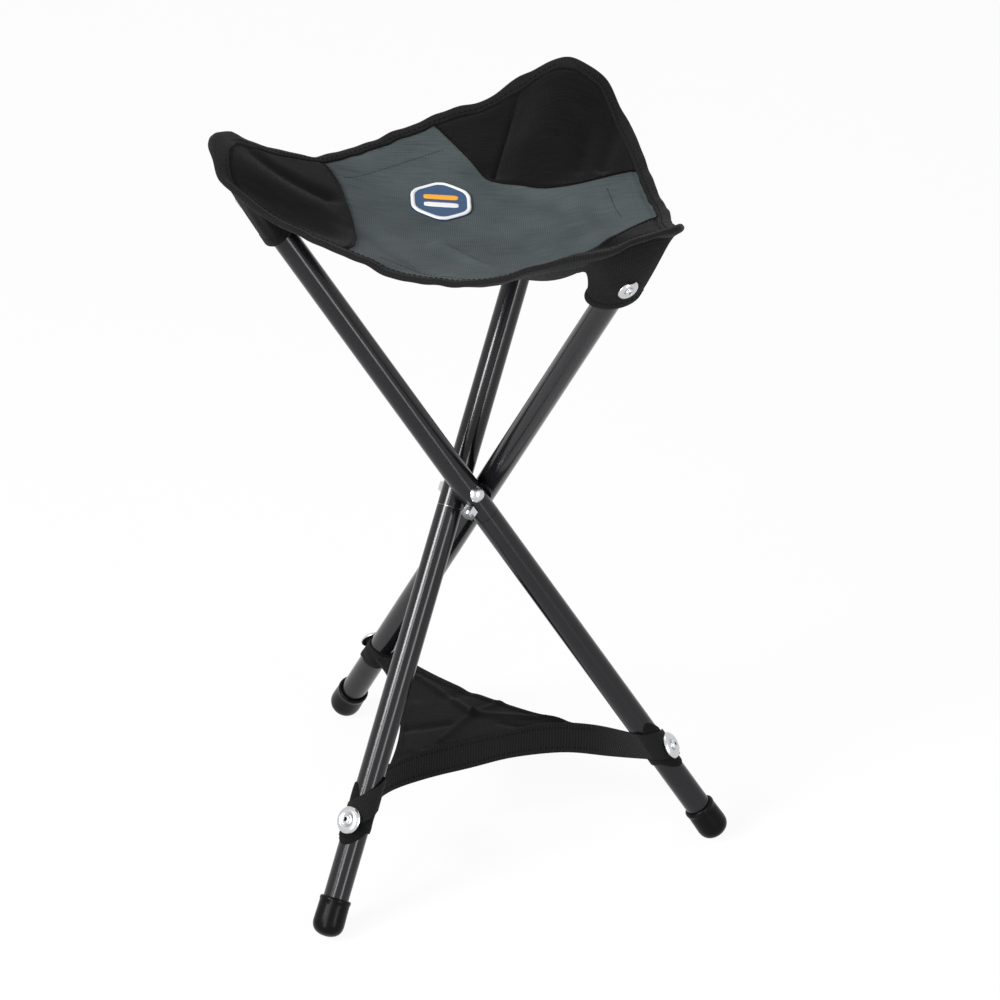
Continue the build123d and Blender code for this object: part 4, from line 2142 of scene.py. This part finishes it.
        # Finer at both edges, which are rolled
        share = np.concatenate([[0.0, 0.02, 0.06, 0.1], np.linspace(0.15, 0.85, 20), [0.9, 0.94, 0.98, 1.0]])
        roll_at, roll_lift = np.array(self.strap_roll).T
        roll = np.interp(share, roll_at, roll_lift)
        dip = np.clip(np.cos(turn - self.rivet_turn), 0, 1)
        peak = np.clip(np.cos(turn - self.strap_peak), 0, 1) ** 2
        low = -self.at - self.strap_low - self.strap_dip * dip
        high = -self.at + self.strap_high + self.strap_rise * peak + self.strap_wave * np.sin(turn * 2)
        along = low[:, None] + (high - low)[:, None] * share
        crinkle = self.strap_crinkle * np.sin(turn * 4 + leg.value)[:, None] * np.sin(share * 3 * pi)[None, :]
        round_leg = turn[:, None] + 0 * along
        outer = leg.around(along, round_leg, self.strap_r - self.strap_sink + crinkle + roll[None, :])
        inner = leg.around(along, round_leg, np.full_like(along, TUBE_R + self.strap_gap))
        maker = MeshMaker(f"{leg.label}_brace_sleeve")
        maker.add_sleeve(outer, inner, np.stack([round_leg * self.strap_r, along], axis=-1))
        piece = maker.build(palette.black)
        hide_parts(f"{leg.label}_brace_strap")
        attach(piece, leg.body)
        seat = leg.around(-self.at, self.rivet_turn, self.rivet_r)
        self.rivet.fit(palette, leg, "brace", seat, unit(seat - leg.at(-self.at)))

    def dress(self, palette: Palette) -> None:
        """Makes every piece of the brace.

        Args:
            palette: Materials.
        """
        for half in Half:
            self.panel(palette, half)
            self.hem_stitching(palette, half)
        self.webbing(palette)
        for leg in Leg:
            self.strap(palette, leg)


@dataclass
class FootCaps:
    """The rubber caps on the feet, each with a bead round its mouth and a rounded end worn flat.

    Attributes:
        section: Radius and place along the leg, from the middle of the end round to the inside.
    """

    section: Pairs = (
        (0.0, -343.0),
        (3.0, -342.8),
        (5.5, -342.1),
        (7.6, -341.1),
        (9.3, -339.7),
        (10.5, -338.0),
        (11.3, -336.0),
        (11.65, -333.5),
        (11.62, -330.0),
        (11.45, -325.0),
        (11.35, -320.0),
        (11.32, -317.4),
        (11.62, -316.9),
        (11.72, -316.0),
        (11.6, -314.9),
        (11.1, -314.2),
        (10.2, -314.0),
        (9.75, -314.2),
        (9.62, -315.0),
        (9.6, -334.0),
        (5.0, -335.0),
        (0.0, -335.0),
    )

    def dress(self, palette: Palette) -> None:
        """Makes the three caps.

        Args:
            palette: Materials.
        """
        for leg in Leg:
            _, _, up = leg.axes()
            maker = MeshMaker(f"{leg.label}_rubber_foot")
            maker.add_turned(leg.at(0.0), up, np.array(self.section), count=72, floor=0.0)
            piece = maker.build(palette.rubber, sharp=60.0)
            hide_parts(f"{leg.label}_foot_cap")
            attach(piece, leg.body)


class Hardware:
    """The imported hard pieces, which keep their shape and take a finish."""

    def dress(self, palette: Palette) -> None:
        """Gives each kind of node its material.

        Args:
            palette: Materials.
        """
        kinds = {
            "_upper_tube": palette.paint,
            "_lower_tube": palette.paint,
            "_ferrule": palette.bare,
            "_top_plug": palette.plastic,
            "_hub_spacer": palette.plastic,
            "_hub_bolt": palette.steel,
            "_hub_nut": palette.steel,
        }
        for name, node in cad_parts.items():
            for ending, material in kinds.items():
                if name.endswith(ending):
                    node.data.materials.clear()
                    node.data.materials.append(material)
                    log.info("finished %s with %s", name, material.name)


# Studio


@dataclass(frozen=True)
class SoftLamp:
    """A rectangular studio lamp.

    Attributes:
        name: Name of the lamp.
        place: Its place in metres.
        size: Width and height in metres.
        power: Power in watts.
    """

    name: str
    place: Triple
    size: Pair
    power: float

    def add(self, aim: Vector) -> None:
        """Adds the lamp to the scene.

        Args:
            aim: Point that it is turned to, in metres.
        """
        lamp = bpy.data.lights.new(self.name, "AREA")
        lamp.shape = "RECTANGLE"
        lamp.size, lamp.size_y = self.size
        lamp.energy = self.power
        holder = bpy.data.objects.new(self.name, lamp)
        holder.location = self.place
        holder.rotation_euler = (aim - holder.location).to_track_quat("-Z", "Y").to_euler()
        bpy.context.scene.collection.objects.link(holder)


@dataclass
class Studio:
    """Floor, lamps, surround and camera.

    Attributes:
        lamps: The studio lamps.
        aim: Point that the lamps are turned to, in metres.
        ambient: Strength of the surround on matt surfaces.
        floor_glow: Share of the floor that shows as plain white to the camera.
        floor_side: Half of the floor's side in metres.
        floor_drop: Distance of the floor under the feet, in metres.
        camera_place: The camera's place from the hub.
        camera_right: Direction to the right in the photograph.
        camera_up: Direction up in the photograph.
        camera_ahead: Direction away from the camera.
        focal_share: Focal length as a share of the picture's width.
    """

    lamps: tuple[SoftLamp, ...] = (
        SoftLamp("key_left", (-2.0, -1.3, 2.0), (0.8, 0.8), 74.0),
        SoftLamp("fill_right", (2.1, -1.6, 1.7), (1.2, 1.6), 5.0),
        SoftLamp("top", (0.1, 0.5, 2.6), (1.6, 1.6), 10.0),
        SoftLamp("strip_left", (-1.15, -1.75, 0.75), (0.4, 1.8), 28.0),
        SoftLamp("strip_right", (1.2, -1.9, 0.9), (0.4, 1.8), 22.0),
    )
    aim: Triple = (0.0, 0.0, 0.32)
    ambient: float = 0.3
    floor_glow: float = 0.92
    floor_side: float = 6.0
    floor_drop: float = 0.0004
    camera_place: Triple = (-314.31, -5135.72, 2816.13)
    camera_right: Triple = (0.99837, -0.04858, 0.02989)
    camera_up: Triple = (-0.00277, 0.48220, 0.87606)
    camera_ahead: Triple = (0.05697, 0.87471, -0.48128)
    focal_share: float = 8.0497

    def seen(self, tree: Tree) -> Any:
        """Adds nodes that tell what a ray is for.

        Args:
            tree: Tree that takes the nodes.

        Returns:
            Output that is 1 for sight, reflections and glass, and 0 for matt light.
        """
        path = add_node(tree, "ShaderNodeLightPath").outputs
        pair = {0: path["Is Camera Ray"], 1: path["Is Glossy Ray"]}
        first = add_node(tree, MATHS, pair, operation="MAXIMUM")
        pair = {0: first.outputs[0], 1: path["Is Transmission Ray"]}
        return add_node(tree, MATHS, pair, operation="MAXIMUM").outputs[0]

    def surround(self) -> None:
        """Makes the world white to the camera and dimmer as light."""
        world = bpy.data.worlds.new("studio_surround")
        world.use_nodes = True
        tree = world.node_tree
        tree.nodes.clear()
        strength = add_node(tree, SPAN, {0: self.seen(tree), 3: self.ambient, 4: 1.0})
        white = linear("#ffffff")
        glow = add_node(tree, "ShaderNodeBackground", {"Color": white, "Strength": strength.outputs[0]})
        add_node(tree, "ShaderNodeOutputWorld", {"Surface": glow.outputs[0]})
        bpy.context.scene.world = world

    def floor(self) -> None:
        """Makes the pale floor, which keeps the stool's shadow."""
        material = bpy.data.materials.new("pale_studio_paper")
        material.use_nodes = True
        tree = material.node_tree
        tree.nodes.clear()
        paper = add_node(tree, "ShaderNodeBsdfDiffuse", {"Color": linear("#f2f2f2")})
        glow = add_node(tree, "ShaderNodeEmission", {"Color": linear("#ffffff"), "Strength": 1.0})
        share = add_node(tree, SPAN, {0: self.seen(tree), 3: 0.0, 4: self.floor_glow})
        both = {0: share.outputs[0], 1: paper.outputs[0], 2: glow.outputs[0]}
        blend = add_node(tree, "ShaderNodeMixShader", both)
        add_node(tree, "ShaderNodeOutputMaterial", {"Surface": blend.outputs[0]})
        mesh = bpy.data.meshes.new("studio_floor")
        side = self.floor_side
        corners = [(-side, -side, 0), (side, -side, 0), (side, side, 0), (-side, side, 0)]
        mesh.from_pydata(corners, [], [(0, 1, 2, 3)])
        mesh.materials.append(material)
        plane = bpy.data.objects.new("studio_floor", mesh)
        plane.location.z = -self.floor_drop
        bpy.context.scene.collection.objects.link(plane)

    def camera(self) -> None:
        """Sets the camera to the view of the photograph."""
        lens = bpy.data.cameras.new("studio_camera")
        lens.sensor_width = 36.0
        lens.lens = self.focal_share * lens.sensor_width
        lens.clip_end = 60.0
        holder = bpy.data.objects.new("studio_camera", lens)
        place = (Vector(HUB) + Vector(self.camera_place)) * MM
        facing = (Vector(self.camera_right), Vector(self.camera_up), -Vector(self.camera_ahead))
        holder.matrix_world = Matrix.Translation(place) @ Matrix(facing).transposed().to_4x4()
        bpy.context.scene.collection.objects.link(holder)
        bpy.context.scene.camera = holder

    def dress(self) -> None:
        """Adds the whole studio."""
        bpy.context.scene.view_settings.view_transform = "Standard"
        self.camera()
        self.surround()
        self.floor()
        for lamp in self.lamps:
            lamp.add(Vector(self.aim))


def main() -> None:
    """Builds the studio and the stool's pieces in order."""
    logging.basicConfig(level=logging.INFO, format="%(name)s: %(message)s")
    Studio().dress()
    palette = Palette()
    Hardware().dress(palette)
    sling = Sling(SlingShape())
    SeatSling(sling, EdgeTape(sling), SeatBadge(sling)).dress(palette)
    CornerPockets(sling).dress(palette)
    LowerBrace().dress(palette)
    FootCaps().dress(palette)


if __name__ == "__main__":
    main()
